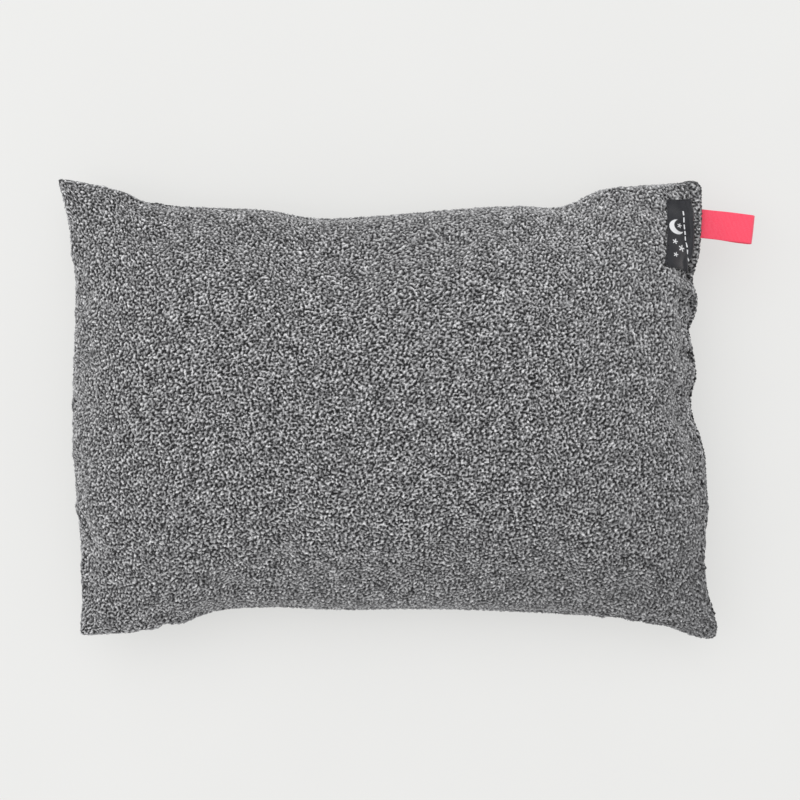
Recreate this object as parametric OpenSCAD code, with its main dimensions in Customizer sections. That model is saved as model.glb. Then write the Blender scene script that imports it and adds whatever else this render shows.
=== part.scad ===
// Camp pillow: a fleece cover with a zip along its right side, a pull ribbon in the side seam,
// a woven label, and a stuffed inner pillow. The pillow lies on its back panel.
// Origin: centre of the resting face. +X towards the zip, +Y towards the ribbon's end, +Z up.

/* [Pillow] */
// Length of the stuffed pillow between its left and right seams
pillow_l = 440; // [380:5:520]
// Width of the stuffed pillow, measured at the corners
pillow_w = 322; // [280:2:380]
// Height of the crown above the side seam
crown_h = 70; // [55:1:80]
// Height of the side seam above the table
seam_h = 46; // [40:1:55]
// Thickness of the pile fleece
fleece_t = 3; // [2:0.5:4]
// Width of the seam allowance turned inside the cover
allowance = 9; // [6:1:10]
// How far the slack back panel would bulge below the table
sag = 5; // [3:0.5:8]

/* [Zip] */
// Length of the closed chain
chain_l = 248; // [160:2:250]
// Clear height between the two fleece lips
lip_gap = 9; // [9:0.5:11]
// Height of the fleece strip between the zip and the side seam
strip_h = 7.6; // [6:0.2:9]
// Distance between neighbouring coil turns on one tape
coil_pitch = 1.5; // [1.2:0.1:2]
// Width of the slider
slider_w = 8; // [7:0.5:8.5]
// Length of the slider
slider_l = 12.5; // [11:0.5:14]
// Length of the puller
puller_l = 18; // [15:1:18]

/* [Ribbon] */
// Width of the pull ribbon
ribbon_w = 20; // [15:1:25]
// Length of the folded loop outside the seam
ribbon_l = 34.5; // [25:0.5:45]
// Thickness of one layer of ribbon
ribbon_t = 0.7; // [0.5:0.1:0.9]
// Angle by which the ribbon leans away from the seam's normal
ribbon_lean = 8; // [0:1:10]

/* [Label] */
// Height of the woven label
label_h = 50; // [40:1:52]
// Thickness of the woven label
label_t = 0.8; // [0.5:0.1:1.2]

/* [Inner pillow] */
// Gap between the cover's outline and the inner pillow's
inner_gap = 17.5; // [17:0.5:20]
// Thickness of the inner case cloth
case_t = 0.8; // [0.6:0.1:1.2]

/* [Hidden] */

// Seam outline of the stuffed pillow, as four sides of even steps from corner to corner.
// Each side pulls in between its corners, more where the panel is slack.
edge_scale = [pillow_l / 440, pillow_w / 322];
bottom_edge = [
    [-219, -152], [-190, -151], [-155, -145.5], [-115, -137], [-80, -136.5], [-35, -139.5],
    [5, -140], [45, -141.5], [85, -144], [125, -147], [165, -151], [195, -157.5], [224, -167]
];
top_edge = [
    [-226, 169], [-190, 161], [-160, 149.5], [-120, 145.5], [-80, 142.5], [-45, 136],
    [0, 136.5], [50, 139.5], [95, 140.5], [125, 139], [155, 148], [190, 152.5], [224, 154]
];
left_edge = [
    [-219, -152], [-216, -120], [-216.5, -88], [-218.5, -56], [-220, -24], [-219.5, 8],
    [-218, 40], [-216, 72], [-215.5, 104], [-219, 137], [-226, 169]
];
right_edge = [
    [224, -167], [224, -135], [222.5, -103], [222, -71], [221, -38], [219, -6],
    [219, 26], [219.5, 58], [221, 90], [223.5, 122], [224, 154]
];

fullness = 2.2;                // how square the crown is
softness = 0.6;                // how steeply it rises from the seam
lip_inset = 5;                 // the front lip stands back from the side seam
ribbon_gap = 2 * ribbon_t;     // both ribbon layers lie in the side seam
zip_rise = ribbon_gap + strip_h + lip_gap;
zip_x = edge_scale[0] * 205;   // plane of the coil
zip_y = -7;                    // middle of the zip along the side
zip_z = seam_h + ribbon_gap + strip_h + lip_gap / 2;
chain_top = zip_y + chain_l / 2;
chain_bottom = zip_y - chain_l / 2;
coil_t = 1.4;                  // thickness of the coil, across the tape
coil_half = 2.1;               // half the width of the closed chain
tape_t = 0.6;
tape_w = 5.5;                  // the part of each tape that turns inwards
tape_bend = 4.8;               // height above the coil's middle at which it turns
tape_lean = 75;                // the tapes follow the lips inwards
thread_r = 0.25;
panel_steps = [28, 22];
case_steps = [20, 16];
cloth_gap = 0.1;               // between cloth layers that are sewn together
turn_gap = 0.3;                // the turned-in allowances part towards their edges
tape_face = zip_x + tape_t / 2 + cloth_gap;

function lerp(a, b, t) = a + (b - a) * t;
function smooth(t) = let (c = min(max(t, 0), 1)) c * c * (3 - 2 * c);
function knot(p, i) = p[min(max(i, 0), len(p) - 1)];

// Smooth curve through the points p, at t from 0 to 1.
function curve(p, t) =
    let (
        n = len(p) - 1, s = min(max(t, 0), 1) * n, i = min(floor(s), n - 1), f = s - i,
        a = knot(p, i - 1), b = knot(p, i), c = knot(p, i + 1), d = knot(p, i + 2)
    )
    (2 * b + (c - a) * f + (2 * a - 5 * b + 4 * c - d) * f * f + (3 * b - a - 3 * c + d) * f * f * f) / 2;

// Point inside the outline, at u from left to right and v from bottom to top.
function outline(u, v) =
    let (
        across = lerp(curve(bottom_edge, u), curve(top_edge, u), v),
        along = lerp(curve(left_edge, v), curve(right_edge, v), u),
        corners = lerp(
            lerp(bottom_edge[0], bottom_edge[12], u), lerp(top_edge[0], top_edge[12], u), v)
    )
    [for (k = [0, 1]) (across[k] + along[k] - corners[k]) * edge_scale[k]];

// Height profile of a stuffed panel, 1 in the middle and 0 on the seam.
function puff(t) = pow(max(0, 1 - pow(abs(2 * t - 1), fullness)), softness);
function crown(u, v) = puff(u) * puff(v);

// The front panel stands up over the zip, apart from the two corners.
function over_zip(u, v) = zip_rise * smooth(min(v, 1 - v) / 0.07) * pow(u, 10);
function strip_top(v) = max(1.4, strip_h * smooth((min(v, 1 - v) - 0.03) / 0.1));

// Steps are finer near the seams, where the panels turn fastest.
function step_at(i, n) = (1 - cos(180 * i / n)) / 2;

// Place of a panel's point in plan. rise is 1 for the front, whose right edge is the zip's lip.
function plan(u, v, rise) =
    outline(u, v) - [rise * lip_inset * over_zip(1, v) / zip_rise * pow(u, 10), 0];

// Points on the outside of a panel.
function outer_point(u, v, height, rise) =
    concat(plan(u, v, rise), seam_h + height * crown(u, v) + rise * over_zip(u, v));

// Points on its inside, whose outline is smaller by the allowance. The front's lip reaches in
// to the zip's tape.
function inner_face(u, v, height, rise) =
    let (
        in_x = allowance / pillow_l,
        in_y = allowance / pillow_w,
        w = lerp(in_y, 1 - in_y, v),
        p = plan(lerp(in_x, 1 - in_x, u), w, rise),
        lip = (plan(1 - in_x, w, rise)[0] - tape_face) * over_zip(1, v) / zip_rise
    )
    [
        p[0] - rise * lip * pow(u, 10),
        p[1],
        seam_h + sign(height) * turn_gap + height * crown(u, v) + rise * over_zip(u, v)
    ];

// Closes two grids of points, of n by m steps, into one shell. The first grid faces up.
module shell(upper, lower, n, m) {
    row = m + 1;
    count = (n + 1) * row;
    border = concat(
        [for (i = [0 : n - 1]) i * row], [for (j = [0 : m - 1]) n * row + j],
        [for (i = [n : -1 : 1]) i * row + m], [for (j = [m : -1 : 1]) j]
    );
    top = [for (i = [0 : n - 1], j = [0 : m - 1])
        let (k = i * row + j, outward = (i < n / 2) == (j < m / 2))
        each (outward ? [[k, k + 1, k + row + 1], [k, k + row + 1, k + row]]
            : [[k, k + 1, k + row], [k + 1, k + row + 1, k + row]])];
    bottom = [for (f = top) [f[0] + count, f[2] + count, f[1] + count]];
    rim = [for (i = [0 : len(border) - 1]) let (a = border[i], b = border[(i + 1) % len(border)])
        each [[a, b, b + count], [a, b + count, a + count]]];
    polyhedron(concat(upper, lower), concat(rim, top, bottom));
}

// A round thread along a closed ring of points, with six sides.
module ring_thread(path, r) {
    sides = 6;
    n = len(path);
    points = [for (i = [0 : n - 1], k = [0 : sides - 1])
        let (
            d = path[(i + 1) % n] - path[(i + n - 1) % n], out = [d[1], -d[0]] / norm([d[0], d[1]]),
            a = 360 * k / sides
        )
        path[i] + r * [out[0] * cos(a), out[1] * cos(a), sin(a)]];
    faces = [for (i = [0 : n - 1], k = [0 : sides - 1])
        let (a = i * sides, b = ((i + 1) % n) * sides, l = (k + 1) % sides)
        each [[a + k, b + l, b + k], [a + k, a + l, b + l]]];
    polyhedron(points, faces);
}

// A straight stitch of round thread between two points.
module stitch(a, b, r) {
    d = b - a;
    translate(a)
        rotate([0, acos(d[2] / norm(d)), atan2(d[1], d[0])])
            cylinder(r = r, h = norm(d), $fn = 16);
}

// A flat profile in X and Z, drawn out along Y from one place to another.
module along_y(from, to) {
    translate([0, to, 0])
        rotate([90, 0, 0])
            linear_extrude(to - from)
                children();
}

module cover_front() {
    n = panel_steps[0];
    m = panel_steps[1];
    outside = [for (i = [0 : n], j = [0 : m])
        outer_point(step_at(i, n), step_at(j, m), crown_h, 1)];
    inside = [for (i = [0 : n], j = [0 : m])
        inner_face(step_at(i, n), step_at(j, m), crown_h - fleece_t, 1)];
    color("dimgray") shell(outside, inside, n, m);
}

module cover_back() {
    n = panel_steps[0];
    m = panel_steps[1];
    outside = [for (i = [0 : n], j = [0 : m])
        outer_point(step_at(i, n), step_at(j, m), -seam_h - sag, 0)];
    inside = [for (i = [0 : n], j = [0 : m])
        let (p = inner_face(step_at(i, n), step_at(j, m), -seam_h, 0))
        [p[0], p[1], max(p[2], fleece_t)]];
    color("dimgray")
        difference() {
            shell(inside, outside, n, m);
            translate([-pillow_l, -pillow_w, -20]) cube([2 * pillow_l, 2 * pillow_w, 20]);
        }
}

// Narrow fleece strip that joins the zip to the side seam, round along its outer edge.
module zip_facing_strip() {
    n = 40;
    round_edge = [[-2.5, 0], [-0.7, 0.2], [0, 0.5], [-0.7, 0.8], [-2.5, 1]];
    sides = len(round_edge) + 2;
    points = [for (i = [0 : n])
        let (
            v = lerp(0.045, 0.955, i / n), p = outline(1, v), z = seam_h + ribbon_gap, h = strip_top(v)
        )
        each concat(
            [[tape_face, p[1], z]],
            [for (q = round_edge) [p[0] + q[0], p[1], z + q[1] * h]],
            [[tape_face, p[1], z + h]]
        )];
    walls = [for (i = [0 : n - 1], k = [0 : sides - 1])
        let (a = i * sides, b = a + sides, l = (k + 1) % sides)
        each [[a + k, b + k, b + l], [a + k, b + l, a + l]]];
    ends = [[for (k = [0 : sides - 1]) k], [for (k = [sides - 1 : -1 : 0]) n * sides + k]];
    color("dimgray") polyhedron(points, concat(walls, ends));
}

// Ring that follows the seam at a distance inside it, at n places on each side.
function seam_ring(gap, n) =
    let (
        corners = [[0, 0], [1, 0], [1, 1], [0, 1]],
        places = [for (c = [0 : 3], i = [0 : n - 1]) lerp(corners[c], corners[(c + 1) % 4], i / n)]
    )
    [for (q = places) let (p = outline(q[0], q[1]))
        [p[0] + lerp(gap, -gap, q[0]), p[1] + lerp(gap, -gap, q[1]), seam_h]];

module cover_overlock_thread() {
    color("darkgray") ring_thread(seam_ring(allowance + 1.8, 24), 0.6);
}

// Side 1 is the front tape, and -1 the back tape.
module zip_tape(side) {
    tip = [-tape_w * sin(tape_lean), tape_bend + tape_w * cos(tape_lean)];
    color([0.09, 0.09, 0.1])
        along_y(chain_bottom - 4, chain_top + 7)
            translate([zip_x, zip_z])
                scale([1, side])
                    polygon([
                        [-tape_t / 2, coil_half], [tape_t / 2, coil_half], [tape_t / 2, tape_bend],
                        tip + [tape_t / 2, 0], tip - [tape_t / 2, 0], [-tape_t / 2, tape_bend]
                    ]);
}

// One half of the coil: a spine on the tape's edge with a row of turns that reach past the middle.
module zip_coil(side) {
    turns = floor(chain_l / coil_pitch) - 1;
    spine = 1.1;
    reach = -0.7;
    turn_w = 0.42 * coil_pitch;
    first = chain_bottom + coil_pitch * (side > 0 ? 0.25 : 0.75);
    teeth = [for (i = [0 : turns - 1]) let (y = first + i * coil_pitch)
        each [[y, spine], [y, reach], [y + turn_w, reach], [y + turn_w, spine]]];
    color([0.05, 0.05, 0.06])
        translate([zip_x - coil_t / 2, 0, zip_z])
            rotate([90, 0, 90])
                linear_extrude(coil_t)
                    scale([1, side])
                        polygon(concat(
                            [[chain_bottom, coil_half], [chain_bottom, spine]], teeth,
                            [[chain_top, spine], [chain_top, coil_half]]
                        ));
}

// Lockstitches that hold each tape, on the tape's inner face.
module zip_stitching() {
    stitch_l = 2.4;
    spacing = 3.2;
    count = floor((chain_l + 4) / spacing);
    color([0.15, 0.15, 0.16])
        for (side = [-1, 1], i = [0 : count - 1]) {
            start = [
                zip_x - tape_t / 2 - thread_r,
                chain_bottom - 2 + i * spacing, zip_z + side * (tape_bend - 0.7)
            ];
            stitch(start, start + [0, stitch_l, 0], thread_r);
        }
}

// One stop is clamped on each tape, past the slider's nose.
module zip_top_stops() {
    size = [2.2, 2.4, 1.2];
    color([0.1, 0.1, 0.1])
        translate([zip_x, chain_top + nose_l + 0.4, zip_z])
            for (side = [0, 1])
                mirror([0, 0, side])
                    translate([-size[0] / 2, 0, 0.8])
                        cube(size);
}

module zip_bottom_stop() {
    size = [2.4, 3, 2 * coil_half];
    color([0.1, 0.1, 0.1])
        translate([zip_x - size[0] / 2, chain_bottom - 0.3 - size[1], zip_z - size[2] / 2])
            cube(size);
}

// Where the slider rests with the zip closed: its nose stands past the last coil turns.
nose_l = 3.6;
slider_y = chain_top + nose_l - slider_l / 2;
channel = coil_t / 2 + 0.4;
plate_t = 0.9;
bridge_w = 2.2;
bridge_half = 3.6;
pivot_x = channel + plate_t + 1.15;
pivot_r = 0.6;

// A slider is two plates round the coil, joined by a wedge in its nose that parts the two
// halves. It is wider at the nose. A bridge on the outer plate holds the puller.
module zip_slider() {
    nose = slider_l / 2;
    half = slider_w / 2;
    wedge = nose_l - 0.4;
    outline = [
        [-nose, -half + 1.8], [-nose + 1, -half + 0.8], [1, -half + 0.6], [nose - 2, -half], [nose - 0.8, -half + 0.3],
        [nose, -half + 1.6], [nose, half - 1.6], [nose - 0.8, half - 0.3], [nose - 2, half], [1, half - 0.6],
        [-nose + 1, half - 0.8], [-nose, half - 1.8]
    ];
    color([0.16, 0.16, 0.17])
        translate([zip_x, slider_y, zip_z]) {
            rotate([90, 0, 90]) {
                for (x = [channel, -channel - plate_t])
                    translate([0, 0, x]) linear_extrude(plate_t) polygon(outline);
                translate([0, 0, -channel - plate_t / 2])
                    linear_extrude(2 * channel + plate_t)
                        polygon([[nose - wedge, 0], [nose - 0.8, -1], [nose, -0.7], [nose, 0.7], [nose - 0.8, 1]]);
            }
            translate([0, 0, -bridge_w / 2])
                linear_extrude(bridge_w)
                    polygon(
                        concat(
                            [for (a = [-90 : 15 : 90])
                                [channel + plate_t - 0.1 + 3 * cos(a), bridge_half * sin(a)]],
                            [for (a = [90 : -15 : -90])
                                [channel + plate_t - 0.1 + 2.15 * cos(a), (bridge_half - 0.9) * sin(a)]]
                        )
                    );
        }
}

// The puller lies flat over the closed chain and turns about its cross bar under the bridge.
module zip_puller() {
    w = 5.4;
    t = 1.1;
    window = [bridge_w + 0.8, 5];
    color([0.16, 0.16, 0.17])
        translate([zip_x + pivot_x, slider_y, zip_z]) {
            translate([0, 0, -w / 2]) cylinder(r = pivot_r, h = w, $fn = 24);
            rotate([90, 0, 90])
                translate([0, 0, -t / 2])
                    linear_extrude(t)
                        difference() {
                            union() {
                                translate([-puller_l + w / 2, -w / 2]) square([puller_l - w / 2, w]);
                                translate([-puller_l + w / 2, 0]) circle(d = w, $fn = 32);
                            }
                            translate([-window[1], -window[0] / 2]) square([window[1] + 1, window[0]]);
                            translate([-puller_l + 3.2, 0]) circle(d = 2.4, $fn = 24);
                        }
        }
}

// Place on the front panel's outside, raised along Z and outwards along X.
function on_front(u, v, lift) = outer_point(u, v, crown_h, 1) + lift * [0.7, 0, 0.7];
label_u = [0.952, 0.998];
label_v = [0.962 - label_h / pillow_w, 0.962];
label_gap = 0.6;

module woven_label() {
    n = 10;
    m = 14;
    face = [for (i = [0 : n], j = [0 : m])
        on_front(lerp(label_u[0], label_u[1], i / n), lerp(label_v[0], label_v[1], j / m), label_gap + label_t)];
    back = [for (i = [0 : n], j = [0 : m])
        on_front(lerp(label_u[0], label_u[1], i / n), lerp(label_v[0], label_v[1], j / m), label_gap)];
    color([0.13, 0.13, 0.14]) shell(face, back, n, m);
}

// Stitches round the label's edge, on its face.
module label_stitching() {
    margin = [0.0035, 0.005];
    lift = label_gap + label_t + thread_r + 0.25;
    corners = [
        [label_u[0] + margin[0], label_v[0] + margin[1]], [label_u[1] - margin[0], label_v[0] + margin[1]],
        [label_u[1] - margin[0], label_v[1] - margin[1]], [label_u[0] + margin[0], label_v[1] - margin[1]]
    ];
    counts = [7, 15, 7, 15];
    color([0.08, 0.08, 0.09])
        for (c = [0 : 3], i = [0 : counts[c] - 1]) {
            a = lerp(corners[c], corners[(c + 1) % 4], (i + 0.15) / counts[c]);
            b = lerp(corners[c], corners[(c + 1) % 4], (i + 0.85) / counts[c]);
            stitch(on_front(a[0], a[1], lift), on_front(b[0], b[1], lift), thread_r);
        }
}

// The ribbon's root on the side seam.
ribbon_root = [edge_scale[0] * 226.2, edge_scale[1] * 124, seam_h + ribbon_t];
eye_r = 3;                     // half the height of the loop's eye, to the middle of the ribbon
eye_from = 22;                 // where the two layers are fully apart

// A folded loop: both layers leave the seam together and open into an eye at the fold. It turns
// about its root, which is round.
module ribbon_loop() {
    start = 8;
    n = 10;
    reach = ribbon_l - eye_r - ribbon_t / 2;
    layer = concat(
        [[0, ribbon_t / 2]],
        [for (i = [0 : n]) [lerp(start, eye_from, i / n), lerp(ribbon_t / 2, eye_r, smooth(i / n))]],
        [[reach, eye_r]]
    );
    fold = function (r) [for (a = [75 : -15 : -75]) [reach + r * cos(a), r * sin(a)]];
    root = [for (a = [255 : -15 : 105]) ribbon_t * [cos(a), sin(a)]];
    side = function (half, from, way)
        [for (i = [from : len(layer) - 1]) [layer[i][0], way * (layer[i][1] + half)]];
    back = function (list) [for (i = [len(list) - 1 : -1 : 0]) list[i]];
    outer = concat(root, side(ribbon_t / 2, 0, 1), fold(eye_r + ribbon_t / 2), back(side(ribbon_t / 2, 0, -1)));
    inner = concat(side(-ribbon_t / 2, 2, 1), fold(eye_r - ribbon_t / 2), back(side(-ribbon_t / 2, 2, -1)));
    color([0.98, 0.3, 0.4])
        translate(ribbon_root)
            rotate(-ribbon_lean)
                along_y(-ribbon_w / 2, ribbon_w / 2)
                    difference() {
                        polygon(outer);
                        polygon(inner);
                    }
}

// The sewn-in end of the ribbon, between the panels.
module ribbon_tail() {
    tail_l = 10;
    gap = 0.1;
    color([0.98, 0.3, 0.4])
        translate(ribbon_root)
            rotate(-ribbon_lean)
                translate([-tail_l, -ribbon_w / 2, -ribbon_t])
                    cube([tail_l - ribbon_t - gap, ribbon_w, 2 * ribbon_t]);
}

// Washing instructions on a thin tape, sewn in beside the side seam and lying inside the cover.
module care_label() {
    t = 0.4;
    color("white")
        along_y(-62, -30)
            translate([zip_x, seam_h])
                polygon([
                    [3.5, 0.2], [3.5, 0.2 + t], [-7.4, 0.2 + t], [-9, 27], [-9 - t, 27], [-7.4 - t, 0.2]
                ]);
}

// Point of the inner pillow, whose outline lies inside the cover's and clear of the zip.
function inner_point(u, v, inset, height) =
    let (
        p = outline(u, v),
        left = -pillow_l / 2 + inner_gap + inset,
        right = zip_x - 12 - inset,
        half = pillow_w / 2
    )
    [
        lerp(left, right, (p[0] + pillow_l / 2) / pillow_l),
        p[1] * (half - inner_gap - inset) / half,
        seam_h + height * crown(u, v)
    ];

case_top = crown_h - fleece_t - 5;

module inner_case_front() {
    n = case_steps[0];
    m = case_steps[1];
    outside = [for (i = [0 : n], j = [0 : m])
        inner_point(step_at(i, n), step_at(j, m), 0, case_top)];
    inside = [for (i = [0 : n], j = [0 : m])
        inner_point(step_at(i, n), step_at(j, m), 3, case_top - case_t)];
    color("gainsboro") shell(outside, inside, n, m);
}

case_floor = fleece_t + 0.6;

module inner_case_back() {
    n = case_steps[0];
    m = case_steps[1];
    below = function (p, z) [p[0], p[1], max(p[2], z)];
    outside = [for (i = [0 : n], j = [0 : m])
        below(inner_point(step_at(i, n), step_at(j, m), 0, -seam_h + 1), case_floor)];
    inside = [for (i = [0 : n], j = [0 : m])
        below(inner_point(step_at(i, n), step_at(j, m), 3, -seam_h + 1), case_floor + case_t)];
    color("gainsboro") shell(inside, outside, n, m);
}

module inner_seam_thread() {
    n = 20;
    corners = [[0, 0], [1, 0], [1, 1], [0, 1]];
    path = [for (c = [0 : 3], i = [0 : n - 1])
        let (q = lerp(corners[c], corners[(c + 1) % 4], i / n)) inner_point(q[0], q[1], 4, 0)];
    color("white") ring_thread(path, 0.5);
}

// The stuffing fills the inner case.
module fibre_fill() {
    n = case_steps[0];
    m = case_steps[1];
    upper = [for (i = [0 : n], j = [0 : m])
        inner_point(step_at(i, n), step_at(j, m), 6, case_top - case_t - 1) + [0, 0, 0.2]];
    lower = [for (i = [0 : n], j = [0 : m])
        let (p = inner_point(step_at(i, n), step_at(j, m), 6, -seam_h + 3))
        [p[0], p[1], max(p[2], case_floor + case_t + cloth_gap) - 0.2 * (1 - crown(step_at(i, n), step_at(j, m)))]];
    color("whitesmoke") shell(upper, lower, n, m);
}

cover_front();
cover_back();
zip_facing_strip();
cover_overlock_thread();
zip_tape(1);  // zip_tape_front
zip_tape(-1);  // zip_tape_back
zip_coil(1);  // zip_coil_front
zip_coil(-1);  // zip_coil_back
zip_stitching();
zip_top_stops();
zip_bottom_stop();
zip_slider();
zip_puller();
woven_label();
label_stitching();
ribbon_loop();
ribbon_tail();
care_label();
inner_case_front();
inner_case_back();
inner_seam_thread();
fibre_fill();
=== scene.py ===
# Camp pillow: a curly fleece cover with a side zip, a woven label and a ribbon tab, over a filled inner pillow.
import math
import bpy
import bmesh
import numpy as np
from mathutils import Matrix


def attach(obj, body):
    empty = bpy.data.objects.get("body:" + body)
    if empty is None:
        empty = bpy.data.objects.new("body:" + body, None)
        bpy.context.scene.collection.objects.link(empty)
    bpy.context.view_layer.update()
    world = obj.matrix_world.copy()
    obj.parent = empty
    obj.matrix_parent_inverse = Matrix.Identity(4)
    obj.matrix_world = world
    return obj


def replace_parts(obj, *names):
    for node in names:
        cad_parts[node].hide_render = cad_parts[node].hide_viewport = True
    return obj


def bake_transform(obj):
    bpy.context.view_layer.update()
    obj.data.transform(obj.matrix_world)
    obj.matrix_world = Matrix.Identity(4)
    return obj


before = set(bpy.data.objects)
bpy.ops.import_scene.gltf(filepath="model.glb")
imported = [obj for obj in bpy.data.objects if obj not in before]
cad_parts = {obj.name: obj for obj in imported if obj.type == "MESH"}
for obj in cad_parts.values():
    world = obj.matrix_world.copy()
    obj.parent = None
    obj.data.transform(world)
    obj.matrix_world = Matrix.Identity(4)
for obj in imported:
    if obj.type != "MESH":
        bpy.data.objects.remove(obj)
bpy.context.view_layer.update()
scene = bpy.context.scene

# Sizes shared by several pieces, in millimetres, the same as in the solid model.
pillow = dict(
    seamHeight=46, frontRise=70, backDrop=51, fullness=2.2, softness=0.6, walkRise=62,
    allowance=9, fleeceThick=3, zipRise=18, turnGap=0.3,
    zipX=205, zipZ=59.5, tapeFace=205.4, chainLow=-131, chainHigh=117,
    length=440, width=322,
)
bottomSide = [
    [-219, -152], [-190, -151], [-155, -145.5], [-115, -137], [-80, -136.5], [-35, -139.5],
    [5, -140], [45, -141.5], [85, -144], [125, -147], [165, -151], [195, -157.5], [224, -167],
]
topSide = [
    [-226, 169], [-190, 161], [-160, 149.5], [-120, 145.5], [-80, 142.5], [-45, 136],
    [0, 136.5], [50, 139.5], [95, 140.5], [125, 139], [155, 148], [190, 152.5], [224, 154],
]
leftSide = [
    [-219, -152], [-216, -120], [-216.5, -88], [-218.5, -56], [-220, -24], [-219.5, 8],
    [-218, 40], [-216, 72], [-215.5, 104], [-219, 137], [-226, 169],
]
rightSide = [
    [224, -167], [224, -135], [222.5, -103], [222, -71], [221, -38], [219, -6],
    [219, 26], [219.5, 58], [221, 90], [223.5, 122], [224, 154],
]


def linearColour(hexText):
    # Each channel c becomes c/12.92 when dark, and ((c + 0.055)/1.055)^2.4 above that.
    channels = [int(hexText[i:i + 2], 16) / 255 for i in (1, 3, 5)]
    return [c / 12.92 if c <= 0.04045 else ((c + 0.055) / 1.055) ** 2.4 for c in channels] + [1.0]


def addNode(tree, kind, settings={}, links={}):
    # A setting is one of the node's own fields when it is a lower-case word, and an input socket otherwise.
    node = tree.nodes.new("ShaderNode" + kind)
    for key, value in settings.items():
        if isinstance(key, str) and key[0].islower():
            setattr(node, key, value)
        else:
            node.inputs[key].default_value = value
    for key, socket in links.items():
        tree.links.new(socket, node.inputs[key])
    return node


def newMaterial(name, shader):
    # A principled surface, and the node that says where on its piece a point is.
    material = bpy.data.materials.new(name)
    material.use_nodes = True
    tree = material.node_tree
    tree.nodes.clear()
    surface = addNode(tree, "BsdfPrincipled", shader)
    addNode(tree, "OutputMaterial", {}, {"Surface": surface.outputs["BSDF"]})
    return material, tree, surface, addNode(tree, "TexCoord")


def dressSurface(tree, surface, shade, stops, relief=None, strength=0, depth=0):
    # Colour from a ramp of places and hex colours over one value; a bump, its depth in millimetres, from another.
    colour = addNode(tree, "ValToRGB", {}, {"Fac": shade})
    ramp = colour.color_ramp
    while len(ramp.elements) < len(stops):
        ramp.elements.new(1)
    for element, (place, hexText) in zip(ramp.elements, stops):
        element.position = place
        element.color = linearColour(hexText)
    tree.links.new(colour.outputs["Color"], surface.inputs["Base Color"])
    if relief is not None:
        bump = addNode(tree, "Bump", {"Strength": strength, "Distance": depth * 0.001}, {"Height": relief})
        tree.links.new(bump.outputs["Normal"], surface.inputs["Normal"])


def addObject(name, data):
    thing = bpy.data.objects.new(name, data)
    scene.collection.objects.link(thing)
    return thing


def easeStep(t):
    # 3t^2 - 2t^3 between 0 and 1, flat outside.
    t = np.clip(t, 0, 1)
    return t * t * (3 - 2 * t)


def mix(a, b, t):
    # a(1 - t) + bt
    return a * (1 - t) + b * t


def unit(vectors):
    # Each vector made one long.
    return vectors / np.maximum(np.linalg.norm(vectors, axis=-1, keepdims=True), 1e-9)


def walk(line):
    # Distance walked along a line, at each of its points.
    return np.concatenate([[0], np.cumsum(np.linalg.norm(np.diff(line, axis=0), axis=1))])


def catmullRom(a, b, c, d, f):
    # Between b and c, at a part f of the way: b + (c - a)f/2 + (2a - 5b + 4c - d)f^2/2 + (3b - a - 3c + d)f^3/2.
    return (2 * b + (c - a) * f + (2 * a - 5 * b + 4 * c - d) * f ** 2 + (3 * b - a - 3 * c + d) * f ** 3) / 2


def gridFaces(rows, cols, first=0, closedRows=False, closedCols=False):
    # Quads between the points of a grid stored row after row; a closed direction joins its last line to its first.
    i = np.arange(rows if closedRows else rows - 1)
    i, j = np.meshgrid(i, np.arange(cols if closedCols else cols - 1), indexing="ij")
    nextI, nextJ = (i + 1) % rows, (j + 1) % cols
    quads = np.stack([i * cols + j, nextI * cols + j, nextI * cols + nextJ, i * cols + nextJ], -1)
    return quads.reshape(-1, 4) + first


def flipped(faceSets):
    return [faces[:, ::-1] for faces in faceSets]


def capFaces(n, m):
    # Fans that close both ends of a closed-sided grid; their middle points come right after the grid's own.
    j = np.arange(m)
    return np.concatenate([
        np.stack([np.full(m, n * m), j, (j + 1) % m], -1),
        np.stack([np.full(m, n * m + 1), (n - 1) * m + (j + 1) % m, (n - 1) * m + j], -1),
    ])


def closedTube(points, flip=False):
    # Point list and faces of a grid whose columns are closed, with a middle point for each end.
    n, m = points.shape[:2]
    everything = np.concatenate([points.reshape(-1, 3), [points[0].mean(0), points[-1].mean(0)]])
    sets = [gridFaces(n, m, closedCols=True)[:, ::-1], capFaces(n, m)]
    return everything, flipped(sets) if flip else sets


def borderLoop(rows, cols):
    # Numbers of a grid's edge points, once round.
    grid = np.arange(rows * cols).reshape(rows, cols)
    return np.concatenate([grid[:-1, 0], grid[-1, :-1], grid[:0:-1, -1], grid[0, :0:-1]])


def shellFaces(n, m):
    # Two equal grids, one under the other, joined round their border.
    loop, count = borderLoop(n, m), n * m
    rim = np.stack([loop, loop + count, np.roll(loop, -1) + count, np.roll(loop, -1)], -1)
    return [gridFaces(n, m), gridFaces(n, m, count)[:, ::-1], rim]


def bagFaces(n, m):
    # Two equal grids that share their border: the numbers of the points in use, and the faces counted among those.
    loop = borderLoop(n, m)
    shared = np.arange(n * m) + n * m
    shared[loop] = loop
    faces = np.concatenate([gridFaces(n, m), shared[gridFaces(n, m)[:, ::-1]]])
    used, packed = np.unique(faces, return_inverse=True)
    return used, packed.reshape(-1, 4)


def joinParts(parts):
    # One point list and one list of face sets from several.
    points, sets, first = [], [], 0
    for partPoints, partSets in parts:
        points.append(partPoints)
        sets += [f + first for f in partSets]
        first += len(partPoints)
    return np.concatenate(points), sets


def tubeMap(x, y):
    # Places in metres for a tube's points, with those of its two end points.
    uv = np.dstack([x, y]).reshape(-1, 2) * 0.001
    return np.concatenate([uv, uv[[0, -1]]])


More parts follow.
